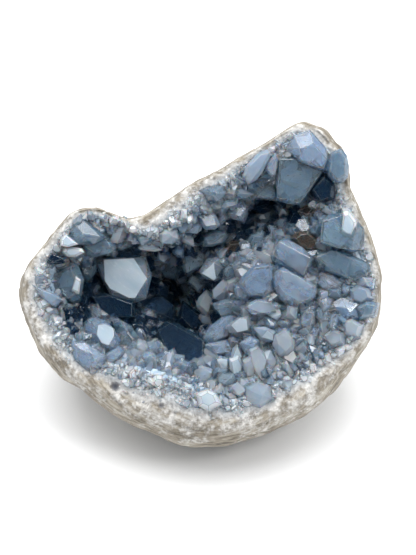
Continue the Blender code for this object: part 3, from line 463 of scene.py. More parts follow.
# The crystals that stand out: name, what it is like, corners of the outline (u, v), corners of the front
# face (u, v), how far the outline and the front face stand out from the wall (mm), and the slope of the
# front face to the right and upwards
CRYSTALS = [
    ("pale_block", "clear", [(-43.5, 9), (-42.5, 11), (-27, 11.5), (-22.5, 11), (-20, 3), (-21.5, -3),
     (-22.5, -6.5), (-27, -8), (-34, -8), (-36.5, -6.5), (-41.5, 3.5)], [(-40, 10), (-27.5, 10.5),
     (-22, 2), (-27, -6), (-29.5, -6), (-37.5, -2), (-39.5, 1)], 15, 18, 0.1, 0.1),
    ("left_blue", "smoky", [(-62, 4), (-57.5, 7), (-52.5, 9.5), (-50.5, 8), (-48, 1.5), (-49.5, -7),
     (-52, -8.5), (-59, -4.5)], [(-60.5, 3.5), (-53.5, 7), (-52, 2), (-52, -4), (-54.5, -6), (-59, -2)],
     10, 14, 0.2, 0.1),
    ("under_block", "deep", [(-46, -5), (-40, -3.5), (-35, -5), (-27.5, -7), (-26, -14), (-33, -16.5),
     (-40.5, -13), (-43.5, -10)], [(-44.5, -5.5), (-37.5, -5), (-28.5, -8.5), (-28.5, -13.5),
     (-37.5, -13.5), (-41.5, -10)], 9, 13, 0.1, 0.05),
    ("hex_window", "clear", [(-49, -18.5), (-47, -14.5), (-44.5, -13.5), (-39.5, -15), (-35.5, -19),
     (-33, -23.5), (-33.5, -27), (-38, -29.5), (-43.5, -29), (-47, -24.5)], [(-42.5, -17),
     (-39.5, -16.5), (-36, -18.5), (-36, -22), (-38, -25.5), (-41, -24.5), (-43, -21)],
     9, 13, 0.4, -0.2),
    ("frosty_ball", "milky", [(-28, -25), (-25.5, -23), (-23, -23.5), (-21, -26), (-21, -30),
     (-23.5, -32), (-26.5, -31.5), (-28, -28.5)], [(-26.5, -25.5), (-24, -24.5), (-22.5, -26.5),
     (-23.5, -30), (-26, -29.5)], 4, 7, 0.0, -0.1),
    ("navy_block", "deep", [(-18.5, -24), (-18, -18.5), (-14.5, -15.5), (-9.5, -16.5), (1.5, -23),
     (2, -26.5), (3.5, -31.5), (-1, -35.5), (-9, -34.5), (-15, -31.5)], [(-17.5, -19.5), (-12.5, -16.5),
     (1, -24), (0.5, -30.5), (-7.5, -33), (-13, -29.5)], 10, 14, 0.4, -0.45),
    ("pit_navy", "deep", [(-9.5, -14), (-7.5, -7), (-0.5, -12), (1.5, -16.5), (2.5, -19.5),
     (1.5, -22.5), (-4, -19.5), (-10, -16.5)], [(-8, -14), (-7, -8.5), (0, -14), (1, -19), (-4, -18)],
     8, 11, 0.3, -0.2),
    ("pit_dark_left", "deep", [(-47.5, 2.5), (-43.5, 5.5), (-41, 2.5), (-40, -1), (-42, -2.5),
     (-47, -1.5)], [(-46.5, 2.5), (-44, 4.5), (-42, 1), (-43.5, -1.5)], 4, 6, 0.1, 0.1),
    ("grey_cube", "smoky", [(-9, 11.5), (-8, 13), (-2.5, 16), (2.5, 11.5), (1.5, 8.5), (-1, 5.5),
     (-5, 3.5), (-6.5, 4), (-8, 7.5)], [(-8, 11.5), (-3, 15.5), (2, 11.5), (0, 7), (-5.5, 4.5)],
     9, 12, 0.2, -0.1),
    ("bright_wedge", "clear", [(-1, 4.5), (2.5, 10), (7.5, 11), (9.5, 10), (12, 4.5), (10.5, 2),
     (6, 0.5), (2.5, 1.5)], [(5.5, 8.5), (6.5, 2), (5.5, 1), (0.5, 4)], 8, 12, 0.1, 0.3),
    ("wedge_foot", "smoky", [(-5.5, 0.5), (-4, 3.5), (-0.5, 3), (3, 1), (5, 0), (-0.5, -4.5),
     (-2.5, -2.5)], [(-4.5, 0.5), (-3.5, 3), (2.5, 0.5), (-1, -3)], 9, 12, 0.0, -0.2),
    ("mound_lip", "milky", [(-2, -9.5), (-1, -6), (2.5, -2.5), (6, -5.5), (6.5, -8.5), (5, -12),
     (3, -14), (0, -12)], [(-0.5, -9), (2.5, -4), (5, -7), (3, -12)], 12, 15, -0.1, 0.1),
    ("alcove_blue", "clear", [(-3, 29.5), (-1, 32), (2, 33), (5.5, 30.5), (7, 26.5), (8.5, 24), (6, 22),
     (2, 22), (-1.5, 25.5)], [(-1.5, 29.5), (2, 32), (5, 29.5), (6.5, 24), (2.5, 23.5)],
     6, 9, 0.2, -0.2),
    ("alcove_grey", "smoky", [(0.5, 18), (1, 21), (6.5, 22), (10.5, 22), (11.5, 19.5), (10, 16.5),
     (5, 15), (1, 15)], [(2, 18.5), (6.5, 21), (10.5, 20.5), (9, 17), (3.5, 16)], 8, 11, 0.0, -0.2),
    ("alcove_spikes", "clear", [(9, 33), (11, 36), (17.5, 35.5), (20.5, 31.5), (18, 25), (13, 26.5),
     (10, 28.5)], [(10.5, 33), (17, 34.5), (19, 31), (16.5, 27.5), (12, 28.5)], 6, 9, 0.0, -0.3),
    ("striped_block", "smoky", [(31.5, 45.5), (32.5, 52.5), (36, 54), (40, 51.5), (51.5, 46),
     (47.5, 42), (41.5, 32), (36, 32.5), (31.5, 34)], [(33, 51), (40.5, 51), (50.5, 46), (41.5, 33),
     (32, 35)], 8, 11, 0.1, 0.0),
    ("striped_side", "clear", [(27, 46.5), (28, 50.5), (31.5, 54), (32.5, 51), (31.5, 45), (30, 43.5)],
     [(28, 47), (29, 50.5), (31.5, 52.5), (31.5, 46)], 6, 8, -0.3, 0.0),
    ("peak_plate", "clear", [(35, 55.5), (39, 61), (45.5, 63.5), (47.5, 60), (52.5, 55.5), (53.5, 49.5),
     (51.5, 46), (41.5, 49.5), (40, 54)], [(41.5, 55.5), (47, 57.5), (52.5, 51), (51, 47), (42.5, 50)],
     3, 7, 0.0, -0.1),
    ("round_tip", "smoky", [(52, 48), (54.5, 54), (58.5, 55.5), (61, 52.5), (61.8, 48), (61.3, 43.5),
     (59, 41), (55.5, 41), (53, 44)], [(54.5, 53), (58, 54), (60, 51), (60, 44.5), (56.5, 42.5),
     (54, 46)], 4, 7, 0.1, -0.1),
    ("small_shelf", "smoky", [(22, 38.5), (24, 41), (28, 42), (31, 41), (31.5, 34.5), (28, 34.5),
     (23.5, 35)], [(23, 38.5), (27, 41), (30.5, 40), (30, 35.5), (24.5, 35.5)], 8, 10, 0.0, -0.2),
    ("pale_ridge", "milky", [(17.5, 43.5), (19, 48.5), (24.5, 54), (28.5, 55.5), (30, 54), (27.5, 51),
     (26.5, 46.5), (23.5, 42.5), (20, 40.5)], [(19, 44), (20.5, 48), (25.5, 53), (28.5, 53.5), (26, 48),
     (21.5, 42.5)], 4, 6, -0.1, 0.1),
    ("shadow_wedge", "deep", [(45.5, 38.5), (51.5, 45.5), (52.5, 43.5), (56, 40), (56, 34.5),
     (50.5, 32.5), (47.5, 34.5)], [(47, 38.5), (51.5, 43.5), (54.5, 39.5), (54, 35.5), (50, 34)],
     5, 8, 0.2, 0.05),
    ("mirror_block", "smoky", [(49, 16), (50.5, 25.5), (53.5, 28.5), (60, 29), (64, 27), (68, 22),
     (68, 17.5), (66.5, 13.5), (63.5, 12), (56.5, 14)], [(50.5, 25), (59.5, 28), (64.5, 22), (63, 19),
     (62.5, 13.5), (56.5, 14.5), (50, 17)], 4, 8, -0.1, 0.0),
    ("slate_block", "smoky", [(46.5, 10.5), (50.5, 13), (55, 14), (61.5, 12), (67.5, 9), (70, 7.5),
     (70.5, 5), (69.5, 1), (65, -1), (57, 2), (50.5, 5)], [(48, 10.5), (55, 13), (56.5, 12.5),
     (67, 7.5), (68.5, 3), (63.5, 1), (56.5, 4)], 4, 7, 0.0, -0.05),
    ("tilted_prism", "clear", [(29, 11.5), (32.5, 17.5), (37, 17.5), (42.5, 14.5), (47.5, 9.5),
     (45, 5.5), (43, 2), (39.5, 3.5), (34.5, 6.5), (30, 9)], [(30, 11.5), (32.5, 17), (45.5, 10),
     (42.5, 3)], 7, 10, 0.0, 0.2),
    ("clear_nose", "clear", [(30, 3), (31, 5), (34, 6.5), (39.5, 3.5), (48, -1), (48.5, -4.5),
     (46.5, -7.5), (41, -10), (38.5, -11), (35.5, -9.5), (32, -6.5), (30.5, -2.5)], [(33, 5), (39.5, 3),
     (47, -2), (45.5, -6), (41, -8.5), (35.5, -6), (32, -1)], 7, 11, 0.1, 0.1),
    ("clear_left", "clear", [(15.5, -0.5), (16.5, 2), (21.5, 7), (28.5, 8.5), (31.5, 5.5), (30.5, -1),
     (31, -6), (27.5, -7), (20.5, -6), (16.5, -3.5)], [(17, -0.5), (22.5, 6), (28.5, 7), (29, -1),
     (26.5, -5.5), (20.5, -4.5)], 7, 10, 0.0, 0.1),
    ("mound_top", "clear", [(18, -10.5), (19.5, -8.5), (23.5, -6.5), (29, -7), (32, -10), (32.5, -13),
     (27, -13.5), (21.5, -13.5)], [(19, -10), (23.5, -7.5), (29, -8.5), (31, -11.5), (25, -12.5)],
     7, 9, 0.0, -0.1),
    ("bright_pair", "milky", [(10.5, -18), (15, -14.5), (20, -13.5), (21.5, -17), (19.5, -21),
     (15, -21.5), (11.5, -20.5)], [(12.5, -17.5), (16, -14.5), (19, -15), (19.5, -19.5), (15, -20.5)],
     8, 11, 0.1, 0.3),
    ("bright_spark", "milky", [(21.5, -18.5), (26.5, -18), (31, -20), (30.5, -24.5), (25, -24.5)],
     [(25, -22.5), (27.5, -19.5), (30, -21.5), (30, -24)], 7, 9, 0.1, 0.4),
    ("zoned_tip", "milky", [(29.5, -25.5), (30.5, -21.5), (35, -18.5), (37.5, -21), (39, -24.5),
     (38.5, -28.5), (36, -31), (32, -30.5)], [(31, -22.5), (35, -19.5), (37.5, -22.5), (37.5, -26),
     (35, -28.5), (32, -25.5)], 7, 11, 0.0, 0.0),
    ("low_tip", "milky", [(12, -31), (13, -27), (15, -25), (18, -30.5), (16.5, -33.5), (13, -32.5)],
     [(13, -31), (15, -26), (17, -30.5), (15.5, -32)], 6, 8, 0.0, 0.2),
    ("low_tip_left", "clear", [(5.5, -31), (8, -30), (11.5, -31), (12, -34), (9.5, -39.5), (7, -37)],
     [(6.5, -31.5), (11, -31.5), (11, -34), (9.5, -38)], 6, 8, 0.1, -0.1),
    ("low_fan", "milky", [(19.5, -27.5), (23.5, -26), (26.5, -29), (29, -32), (28, -37.5), (25, -42.5),
     (23, -41), (19.5, -34)], [(20.5, -28.5), (23.5, -27), (27, -32), (25, -40), (21.5, -35)],
     5, 8, 0.0, -0.1),
    ("low_frost", "milky", [(11, -42.5), (15.5, -41), (19.5, -44.5), (16.5, -47.5), (12, -45.5)],
     [(12.5, -42.5), (15.5, -41.5), (18, -44.5), (15.5, -46.5)], 3, 5, 0.0, 0.0),
    ("low_slate", "milky", [(-4.5, -35.5), (0, -34), (5, -35.5), (6, -40.5), (3, -44), (-2.5, -44)],
     [(-3, -36), (0.5, -35), (4.5, -37), (2.5, -43), (-2, -43)], 4, 6, 0.0, -0.2),
    ("right_pale", "clear", [(49, 1), (51, 3.5), (55.5, 2.5), (58, -0.5), (56, -3), (51.5, -3)],
     [(50.5, 1), (52.5, 2.5), (56.5, -0.5), (52.5, -2)], 5, 7, 0.0, 0.1),
    ("right_blade", "clear", [(48, -13.5), (51, -13.5), (54, -17.5), (55, -21), (50.5, -23.5),
     (47.5, -19)], [(49.5, -14.5), (51.5, -14.5), (53.5, -19), (50.5, -22)], 4, 6, 0.0, 0.0),
    ("right_low", "clear", [(40, -17.5), (42, -12), (45, -10), (48, -12), (47.5, -18), (43, -20.5)],
     [(41.5, -17), (43, -12), (46.5, -13), (45, -18.5)], 5, 7, 0.0, 0.1),
    ("lobe_dark", "deep", [(-63.5, 10.5), (-62, 13), (-59.5, 12.5), (-56, 10.5), (-56, 8.5), (-60.5, 8),
     (-63.5, 8.5)], [(-63, 10.5), (-61.5, 12.5), (-57, 10.5), (-60.5, 9)], 3, 5, 0.0, 0.2),
    ("pale_chip", "milky", [(-52.5, 10.5), (-51, 12.5), (-48.5, 12.5), (-48, 10), (-49.5, 8.5)],
     [(-52, 10.5), (-50.5, 12), (-48.5, 11.5), (-49.5, 9)], 4, 6, 0.0, 0.2)]

# Those of them whose front face is coloured pale, a painted reflection of the lamps
PAINTED_REFLECTIONS = ("pale_block", "hex_window", "bright_wedge", "bright_pair", "bright_spark", "low_tip",
           "low_tip_left", "pale_chip")

# The others between them, with the same columns but the front face, which is drawn below
BETWEEN = [
    ("lobe_twin_left", "smoky", [(-52.5, 21.5), (-51.5, 24.5), (-48, 25.5), (-45, 23.5), (-41, 20.5),
     (-40, 19.3), (-44.5, 16.8), (-49.5, 16.8), (-52, 18.3)], 7, 10, -0.1, -0.15),
    ("lobe_twin_right", "smoky", [(-39.5, 21), (-37.5, 18), (-35.5, 15), (-38, 13), (-44, 11.5),
     (-47, 13.5), (-50, 16), (-44, 18)], 9, 12, 0.1, 0.15),
    ("lobe_sliver", "frost", [(-57, 18), (-55.5, 20), (-54, 18), (-51, 16.5), (-54.5, 15.5), (-57, 16)],
     8, 9, 0, 0.1),
    ("lobe_slab", "frost", [(-56, 13), (-55.5, 14.5), (-53, 15), (-49.5, 14.5), (-48.5, 13),
     (-51.5, 11.5), (-54.5, 11.5)], 11, 12.5, 0.1, 0.15),
    ("lobe_green", "smoky", [(-49.5, 8.5), (-48, 12.5), (-44, 10.5), (-43.5, 5.5), (-45.5, 2.5),
     (-49, 3)], 7, 9, 0.1, 0),
    ("lobe_facet", "clear", [(-36.5, 18), (-34, 19.5), (-30.5, 18.5), (-29, 15.5), (-32.5, 14),
     (-35.5, 15)], 5, 7, 0, 0.1),
    ("left_ledge", "milky", [(-67.5, -1.5), (-64, -3), (-59.5, -4.5), (-58, -6.5), (-61, -8.5),
     (-64.5, -6)], 4, 6, 0.1, 0.1),
    ("left_chip", "smoky", [(-58, -6.5), (-54.5, -8), (-52, -9), (-53.5, -12), (-57, -10.5)],
     5, 7, 0, 0),
    ("left_foot", "clear", [(-51.5, -25.5), (-47.5, -25), (-44.5, -27.5), (-40, -30), (-41.5, -33.5),
     (-46.5, -34.5), (-50.5, -31)], 3, 5, 0, -0.1),
    ("middle_foot", "clear", [(-41.5, -30.5), (-36.5, -27.5), (-34, -26), (-32, -28.5), (-35.5, -32.5),
     (-40, -33.5)], 4, 6, 0, -0.2),
    ("beside_window", "smoky", [(-34.5, -20), (-35.5, -17), (-32.5, -16), (-29, -18), (-26.5, -22),
     (-28, -25), (-31.5, -24.5)], 6, 9, 0.1, 0),
    ("under_ball", "clear", [(-24.5, -30), (-21, -28.5), (-18, -31), (-17.5, -37), (-21, -39.5),
     (-24, -35)], 3, 5, 0.1, 0),
    ("navy_foot", "clear", [(-12, -34.5), (-8, -32), (-3.5, -34), (-2.5, -38), (-7, -41), (-10.5, -39)],
     5, 7, 0, 0.1),
    ("low_pale", "frost", [(-1, -46.5), (2.5, -44.5), (5.5, -46), (7, -49.5), (3, -51.5), (0, -50)],
     2, 3.5, 0, 0.1),
    ("low_white", "milky", [(19, -43.5), (23, -41.5), (27, -43.5), (28, -47.5), (24, -50),
     (19.5, -48.5)], 0.8, 1.8, 0, 0),
    ("pit_block", "smoky", [(-16.5, 9.5), (-13.5, 13), (-9.5, 10.5), (-8, 6), (-10, 2.5), (-15, 3.5)],
     5, 8, 0.2, 0),
    ("pit_brown", "brown", [(-18, 4.5), (-15, 5), (-12, 2.5), (-12.5, 0.5), (-17.5, 1)], 4, 6, 0.1, 0),
    ("pit_deep", "deep", [(-21, 0), (-16.5, 1), (-13.5, -1.5), (-14.5, -7), (-18.5, -9.5), (-21.5, -6)],
     5, 8, 0.2, 0.1),
    ("pit_brown_low", "brown", [(-12.5, -6), (-7.5, -6), (-6, -9.5), (-9.5, -13.5), (-12.5, -12)],
     3, 5, 0.1, 0),
    ("pit_green", "deep", [(-26.5, -8.5), (-22.5, -7), (-16.5, -6.5), (-12.5, -9.5), (-12.5, -14.5),
     (-18.5, -17), (-24, -16), (-26.5, -13.5)], 6, 10, 0, 0),
    ("pit_left_low", "deep", [(-29, -16), (-24, -16.5), (-21, -20), (-22.5, -24), (-26, -22.5)],
     5, 7, 0.1, -0.1),
    ("ledge_tooth", "milky", [(-17, 20), (-14.5, 22.5), (-10.5, 21.5), (-9.5, 18.5), (-12, 16.5),
     (-15.5, 17)], 4, 7, 0, 0.1),
    ("ledge_tooth_left", "smoky", [(-26, 19.5), (-22.5, 21), (-20, 20), (-20, 17), (-24, 16)],
     3, 5, 0, 0.1),
    ("ledge_sliver", "frost", [(-25, 15), (-23, 18), (-22, 17), (-19.5, 16.5), (-16.5, 14), (-19, 13.5),
     (-24, 14)], 8, 9, 0.1, 0.1),
    ("ledge_facet", "smoky", [(1.5, 38), (5, 39.5), (9, 39.5), (10, 37), (8, 34.5), (4, 34.5)],
     3, 5, 0, 0),
    ("ledge_fan", "clear", [(10.5, 38), (17.5, 42), (21.5, 36.5), (16.5, 35), (12.5, 35.5)],
     5, 7, 0, 0.1),
    ("ledge_tip", "clear", [(14.5, 29.5), (16, 31), (18, 31.5), (19.5, 28.5), (18, 25), (16, 26)],
     8, 11, 0, 0),
    ("alcove_back", "deep", [(12, 22.5), (16.5, 25), (21.5, 23.5), (23, 19.5), (19, 16.5), (13.5, 18)],
     3, 5, 0, 0),
    ("alcove_roof", "smoky", [(22, 28.5), (26, 32), (31, 31), (33.5, 27.5), (31.5, 23.5), (25.5, 22.5)],
     4, 7, 0, 0.1),
    ("alcove_right", "deep", [(35.5, 25), (38, 29.5), (41, 30), (44.5, 27.5), (47, 23.5), (43, 20),
     (37, 21)], 3, 6, 0.1, 0),
    ("alcove_brown", "brown", [(41, 29.5), (44.5, 32), (49.5, 33), (50, 28.5), (47, 26), (43, 26.5)],
     4, 6, 0.1, 0),
    ("rose_tip", "brown", [(38.5, 18.5), (41, 20.5), (44.5, 21), (48.5, 18), (49.5, 13.5), (44.5, 13),
     (40.5, 15.5)], 5, 8, 0, 0),
    ("mid_brown", "brown", [(10, 13), (12, 16.5), (16.5, 17), (18, 13.5), (15.5, 11), (11.5, 10.5)],
     4, 6, 0.1, 0.1),
    ("mid_pale", "milky", [(16.5, 12), (19, 14), (23.5, 13), (24, 9.5), (20.5, 8), (17.5, 9)],
     5, 7, 0.2, 0),
    ("mid_clear", "clear", [(13.5, 7), (15.5, 10), (19, 9), (20.5, 6), (18, 4), (14.5, 5)],
     6, 8, -0.1, 0.1),
    ("mid_green", "smoky", [(19.5, 15.5), (21.5, 19.5), (25.5, 21), (29.5, 18.5), (29.5, 15.5),
     (25.5, 13.5)], 4, 6, 0, 0),
    ("right_green", "clear", [(49, -0.5), (50.5, 2), (54.5, 2.5), (57.5, 0), (57, -3), (52, -3.5)],
     6, 8, 0, 0),
    ("right_small", "clear", [(57, -3), (59.5, -0.5), (62, -1.5), (62, -4.5), (59.5, -6)],
     4, 6, 0.1, 0),
    ("right_sparkle", "milky", [(62, -3.5), (65, -1.5), (69, -3), (70, -6.5), (66.5, -9), (63, -7.5)],
     3, 5, 0.1, 0.1),
    ("right_upper", "clear", [(62.5, 2.5), (66.5, 3.5), (71, 1), (70.5, -2), (66, -2)],
     3, 5, 0.1, -0.1),
    ("right_blue", "clear", [(54, -9.5), (58.5, -7), (64.5, -9.5), (64.5, -14), (59.5, -16.5),
     (54.5, -14.5)], 4, 6, 0.1, 0.1),
    ("right_dark", "smoky", [(64.5, -10.5), (68.5, -8.5), (72.5, -9.5), (71.5, -13.5), (66.5, -14.5)],
     2.5, 4, 0.1, 0),
    ("right_mid", "clear", [(48.5, -7), (51.5, -5.5), (54.5, -7.5), (54, -12), (50, -13)],
     5, 7, 0, 0.1),
    ("nose_foot", "clear", [(41.5, -12), (44, -9.5), (47, -10.5), (48, -15), (45, -17.5),
     (42.5, -15.5)], 5, 7, 0, 0),
    ("right_low_a", "clear", [(49, -14.5), (52, -12.5), (54.5, -14.5), (54, -18), (50, -18)],
     4, 6, 0, 0),
    ("right_low_b", "clear", [(43.5, -19.5), (47, -18), (50, -19.5), (49.5, -23.5), (45, -24)],
     4, 6, 0.1, -0.1),
    ("right_low_c", "milky", [(50, -22), (54.5, -19.5), (58.5, -21), (58.5, -25), (53.5, -26.5)],
     3, 5, 0, 0),
    ("right_low_d", "smoky", [(41, -24), (44, -22.5), (46.5, -25.5), (44.5, -28.5), (41.5, -27.5)],
     4, 5.5, 0, 0.1),
    ("right_low_e", "milky", [(58.5, -16), (62.5, -15.5), (66, -18), (64.5, -22), (59.5, -21)],
     2.5, 4.5, 0.1, 0),
    ("mound_crumb", "milky", [(5.5, -3), (9.5, 1), (14, 0), (14, -4.5), (9.5, -7), (6, -6)],
     9, 12, 0, 0.1),
    ("mound_shadow", "smoky", [(5.5, -8.5), (10.5, -7), (15.5, -6), (18, -8.5), (15.5, -11.5),
     (9, -13)], 8, 10, 0.1, -0.1),
    ("mound_right", "clear", [(14, -1), (17.5, -1.5), (20.5, -4), (19, -7), (15, -6)], 8, 11, 0.1, 0.1),
    ("mound_low", "clear", [(2, -22.5), (4, -18.5), (9, -14.5), (13, -13), (16.5, -15.5), (14.5, -20),
     (9.5, -23.5), (5, -25)], 8, 11, -0.15, 0),
    ("mound_foot", "clear", [(2.5, -25.5), (7, -25), (13, -23.5), (16.5, -25.5), (13, -29.5),
     (5.5, -30)], 6, 8, -0.1, -0.1),
    ("mound_chip", "clear", [(16.5, -25), (20.5, -22.5), (24, -24), (23, -27.5), (19, -29.5)],
     7, 9, 0, -0.1),
    ("fan_left", "frost", [(12, -32), (15.5, -30.5), (17.5, -34.5), (16.5, -39.5), (13, -38.5)],
     5, 7, -0.1, 0.1),
    ("fan_middle", "milky", [(17.5, -32.5), (20.5, -31), (22.5, -35), (21.5, -41), (19, -39.5)],
     6, 8, 0, 0.2),
    ("fan_right", "milky", [(25.5, -30), (28.5, -28.5), (31, -32.5), (29.5, -37.5), (26.5, -36)],
     5, 7, 0.1, 0),
    ("fan_grey", "smoky", [(31, -30), (34.5, -32.5), (33.5, -37), (31, -37.5)], 4, 5, 0.1, 0),
    # mirror_facet and high_facet are thin pale plates laid where a bright facet shows: painted reflections.
    ("mirror_facet", "frost", [(58, 21.3), (59.4, 28.5), (61.2, 28.9), (62.5, 26.2), (64.3, 24.9),
     (63.8, 22.2), (62.5, 18.8), (59.8, 19.7)], 6, 7.2, -0.05, 0.1),
    ("left_bevel", "frost", [(-52.3, -0.6), (-51.6, 2.9), (-49.6, 1.4), (-50.3, -4), (-53.3, -2.7)],
     17.5, 18.6, 0.3, 0.1),
    ("high_facet", "frost", [(-6.6, 27.8), (-3.5, 28.5), (-3, 26.1), (-4.7, 24.8)], 4, 5.2, 0, -0.5),
    ("rust_left", "rust", [(-51.3, -20), (-50, -19.6), (-49.4, -20.8), (-50.4, -21.8)], 3, 3.8, 0, 0),
    ("rust_low", "rust", [(-16.6, -29.4), (-14.6, -28.8), (-13.4, -30.6), (-14.8, -32.4),
     (-16.4, -31.4)], 4, 5, 0.1, -0.2)]
INNER = 0.76                     # size of a flat front face of these against their outline
POINT = 0.4                      # size of a blunt point against a flat front face
RIDGE = 0.72                     # how far a ridge runs towards the farthest corner
SPREAD = 1.16                    # size of their bodies, which run into each other, against their outline
ROOT, TRACED_ROOT = 1.25, 0.82   # size of a root against its body, here and on the crystals that stand out
FLAT_ENDS, RIDGED_ENDS = 0.4, 0.75       # shares of them with a flat end, and with that or a ridge
LEAN = 0.7                       # how much of the front face's slope the outline follows
ROOT_BEHIND = 2.0                # mm, how far a root lies behind the outline at least
ONE_FACET = math.radians(6.0)    # under which two facets become one


def standing_crystal(outline, face, side, front, slope_u, slope_v, root=TRACED_ROOT):
    """Mesh of one crystal from its outline and its front face, rooted in the wall behind it."""
    cu = sum(u for u, v in outline) / len(outline)
    cv = sum(v for u, v in outline) / len(outline)
    level = float(wall(cu, cv)[0])
    mesh = bmesh.new()
    for u, v, *drop in face:
        w = level + front + slope_u * (u - cu) + slope_v * (v - cv)
        mesh.verts.new(place(u, v, w - sum(drop)))
    for u, v in outline:
        mesh.verts.new(place(u, v, level + side + LEAN * (slope_u * (u - cu) + slope_v * (v - cv))))
    for u, v in outline:
        u, v = cu + root * (u - cu), cv + root * (v - cv)
        mesh.verts.new(place(u, v, min(float(wall(u, v)[0]) + 0.2, level + side - ROOT_BEHIND)))
    made = bmesh.ops.convex_hull(mesh, input=mesh.verts)
    loose = [v for v in set(made["geom_interior"] + made["geom_unused"])
             if isinstance(v, bmesh.types.BMVert) and v.is_valid]
    bmesh.ops.delete(mesh, geom=loose, context="VERTS")
    bmesh.ops.dissolve_limit(mesh, angle_limit=ONE_FACET, verts=mesh.verts, edges=mesh.edges)
    bmesh.ops.recalc_face_normals(mesh, faces=mesh.faces)
    return mesh


EDGE, FACE = 1, 2                # materials on a crystal beside its clear body: pale chipped edges, partly painted glint, and a front face with a painted reflection
LARGE_EDGE, BETWEEN_EDGE = 0.13, 0.09    # mm, how wide the chipped edges are
SHARP_ANGLE = math.radians(14.0)     # over which an edge is chipped
VEIL = 0.3                       # scale of the veils in a crystal along it against across it
VEIL_START = (7.7, 3.1, 5.3)     # where a crystal lies in the pattern of the veils, times its tone
HEART = 0.9                      # size of the cloudy zone in a crystal against the crystal
RAGGED, RAGGED_POWER = 0.55, 2.5     # how far its outside falls in at most, and how few of its points do
CUT_MM = 4.0                     # its edges over this length are halved, up to twice
TAKEN = 0.75                     # radius of the ground a crystal takes, against its mean radius
HEART_SEED, LOOK_SEED = 23, 11
viewer = (place(0, 0, 100) - place(0, 0, 0)).normalized()


def finished(mesh, tone, edge_mm=0.0, painted_reflection=False, axis=None, long=None):
    """Gives a crystal its tone, pale chipped edges (partly painted glint), a painted reflection on its front
    face if it has one, and the run of its veils.
    """
    axis = axis or viewer
    long = long or Vector((1.0, 0.0, 0.0))
    long = (long - axis * long.dot(axis)).normalized()
    across = axis.cross(long)
    heights = [v.co.dot(axis) for v in mesh.verts]
    low, high = min(heights), max(heights)
    start = Vector([tone * step for step in VEIL_START])
    if painted_reflection:
        front = max(mesh.faces, key=lambda f: f.calc_area() * max(0.0, f.normal.dot(viewer))**3)
        front.material_index = FACE
    if edge_mm:
        sharp = [e for e in mesh.edges if e.is_manifold and e.calc_face_angle(0.0) > SHARP_ANGLE]
        bmesh.ops.bevel(mesh, geom=sharp, offset=edge_mm * MM, offset_type="OFFSET", segments=1,
                        affect="EDGES", clamp_overlap=True, material=EDGE)
    bmesh.ops.recalc_face_normals(mesh, faces=mesh.faces)
    layer = mesh.verts.layers.float.new("tone")
    rise = mesh.verts.layers.float.new("rise")
    own = mesh.verts.layers.float_vector.new("own")
    for vertex in mesh.verts:
        spot = vertex.co
        vertex[layer] = tone
        vertex[rise] = (spot.dot(axis) - low) / (high - low)
        vertex[own] = Vector((VEIL * spot.dot(long), spot.dot(across), VEIL * spot.dot(axis))) + start
    return mesh


ragged_draw = np.random.default_rng(HEART_SEED)


def heart_of(mesh):
    """The cloudy zone in a crystal: a copy of it that stops short of its faces, with a broken outside."""
    heart = mesh.copy()
    for _ in range(2):
        long_edges = [e for e in heart.edges if e.calc_length() > CUT_MM * MM]
        if long_edges:
            bmesh.ops.subdivide_edges(heart, edges=long_edges, cuts=1)
    bmesh.ops.triangulate(heart, faces=heart.faces)
    middle = sum((v.co for v in heart.verts), Vector()) / len(heart.verts)
    for vertex in heart.verts:
        share = HEART * (1.0 - RAGGED * ragged_draw.random()**RAGGED_POWER)
        vertex.co = middle + (vertex.co - middle) * share
    return heart


groups = {look: [] for look in ("clear", "deep", "smoky", "milky", "frost", "brown", "rust")}
hearts, dark_hearts = [], []
taken = []                       # where a crystal stands: (u, v, radius)
pick = np.random.default_rng(LOOK_SEED)


def longest(outline):
    """Direction of the longest way across an outline."""
    a, b = max(((p, q) for p in outline for q in outline), key=lambda ends: math.dist(*ends))
    return place(b[0], b[1], 0.0) - place(a[0], a[1], 0.0)


def taken_by(outline):
    """Middle (u, v) of the ground that a crystal takes, and its radius."""
    cu = sum(u for u, v in outline) / len(outline)
    cv = sum(v for u, v in outline) / len(outline)
    return cu, cv, TAKEN * sum(math.hypot(u - cu, v - cv) for u, v in outline) / len(outline)


for name, look, outline, face, *stand in CRYSTALS:
    mesh = standing_crystal(outline, face, *stand)
    heart = finished(heart_of(mesh), pick.uniform(0.3, 0.8), long=longest(outline))
    (dark_hearts if look == "deep" else hearts).append(heart)
    body = finished(mesh, pick.uniform(0.3, 0.8), LARGE_EDGE, name in PAINTED_REFLECTIONS, long=longest(outline))
    groups[look].append(body)
    taken.append(taken_by(outline))
for _, look, outline, *stand in BETWEEN:
    cu, cv, radius = taken_by(outline)
    shift_u, shift_v = pick.uniform(-0.25, 0.25, 2) * radius
    tip_u, tip_v = cu + shift_u, cv + shift_v
    kind = pick.random()
    if look == "frost" or kind < FLAT_ENDS:
        face = [(cu + INNER * (u - cu), cv + INNER * (v - cv)) for u, v in outline]
    elif kind < RIDGED_ENDS:                 # a ridge along the longest way across, which drops to one end
        far = max(outline, key=lambda p: math.hypot(p[0] - cu, p[1] - cv))
        du, dv = (far[0] - cu) * RIDGE, (far[1] - cv) * RIDGE
        drop = pick.uniform(0.0, 0.35) * radius
        face = [(tip_u + du, tip_v + dv, drop), (tip_u - 0.5 * du, tip_v - 0.5 * dv),
                (tip_u + 0.3 * dv, tip_v - 0.3 * du, 0.2)]
    else:
        face = [(tip_u + INNER * POINT * (u - cu), tip_v + INNER * POINT * (v - cv)) for u, v in outline]
    wide = [(cu + SPREAD * (u - cu), cv + SPREAD * (v - cv)) for u, v in outline]
    mesh = standing_crystal(wide, face, *stand, ROOT)
    heart = finished(heart_of(mesh), pick.uniform(0.1, 0.9), long=longest(outline))
    (dark_hearts if look in ("deep", "brown") else hearts).append(heart)
    # The pale ones also get the painted reflection on their front face.
    body = finished(mesh, pick.uniform(0.1, 0.9), BETWEEN_EDGE, look == "frost", long=longest(outline))
    groups[look].append(body)
    taken.append((cu, cv, radius))


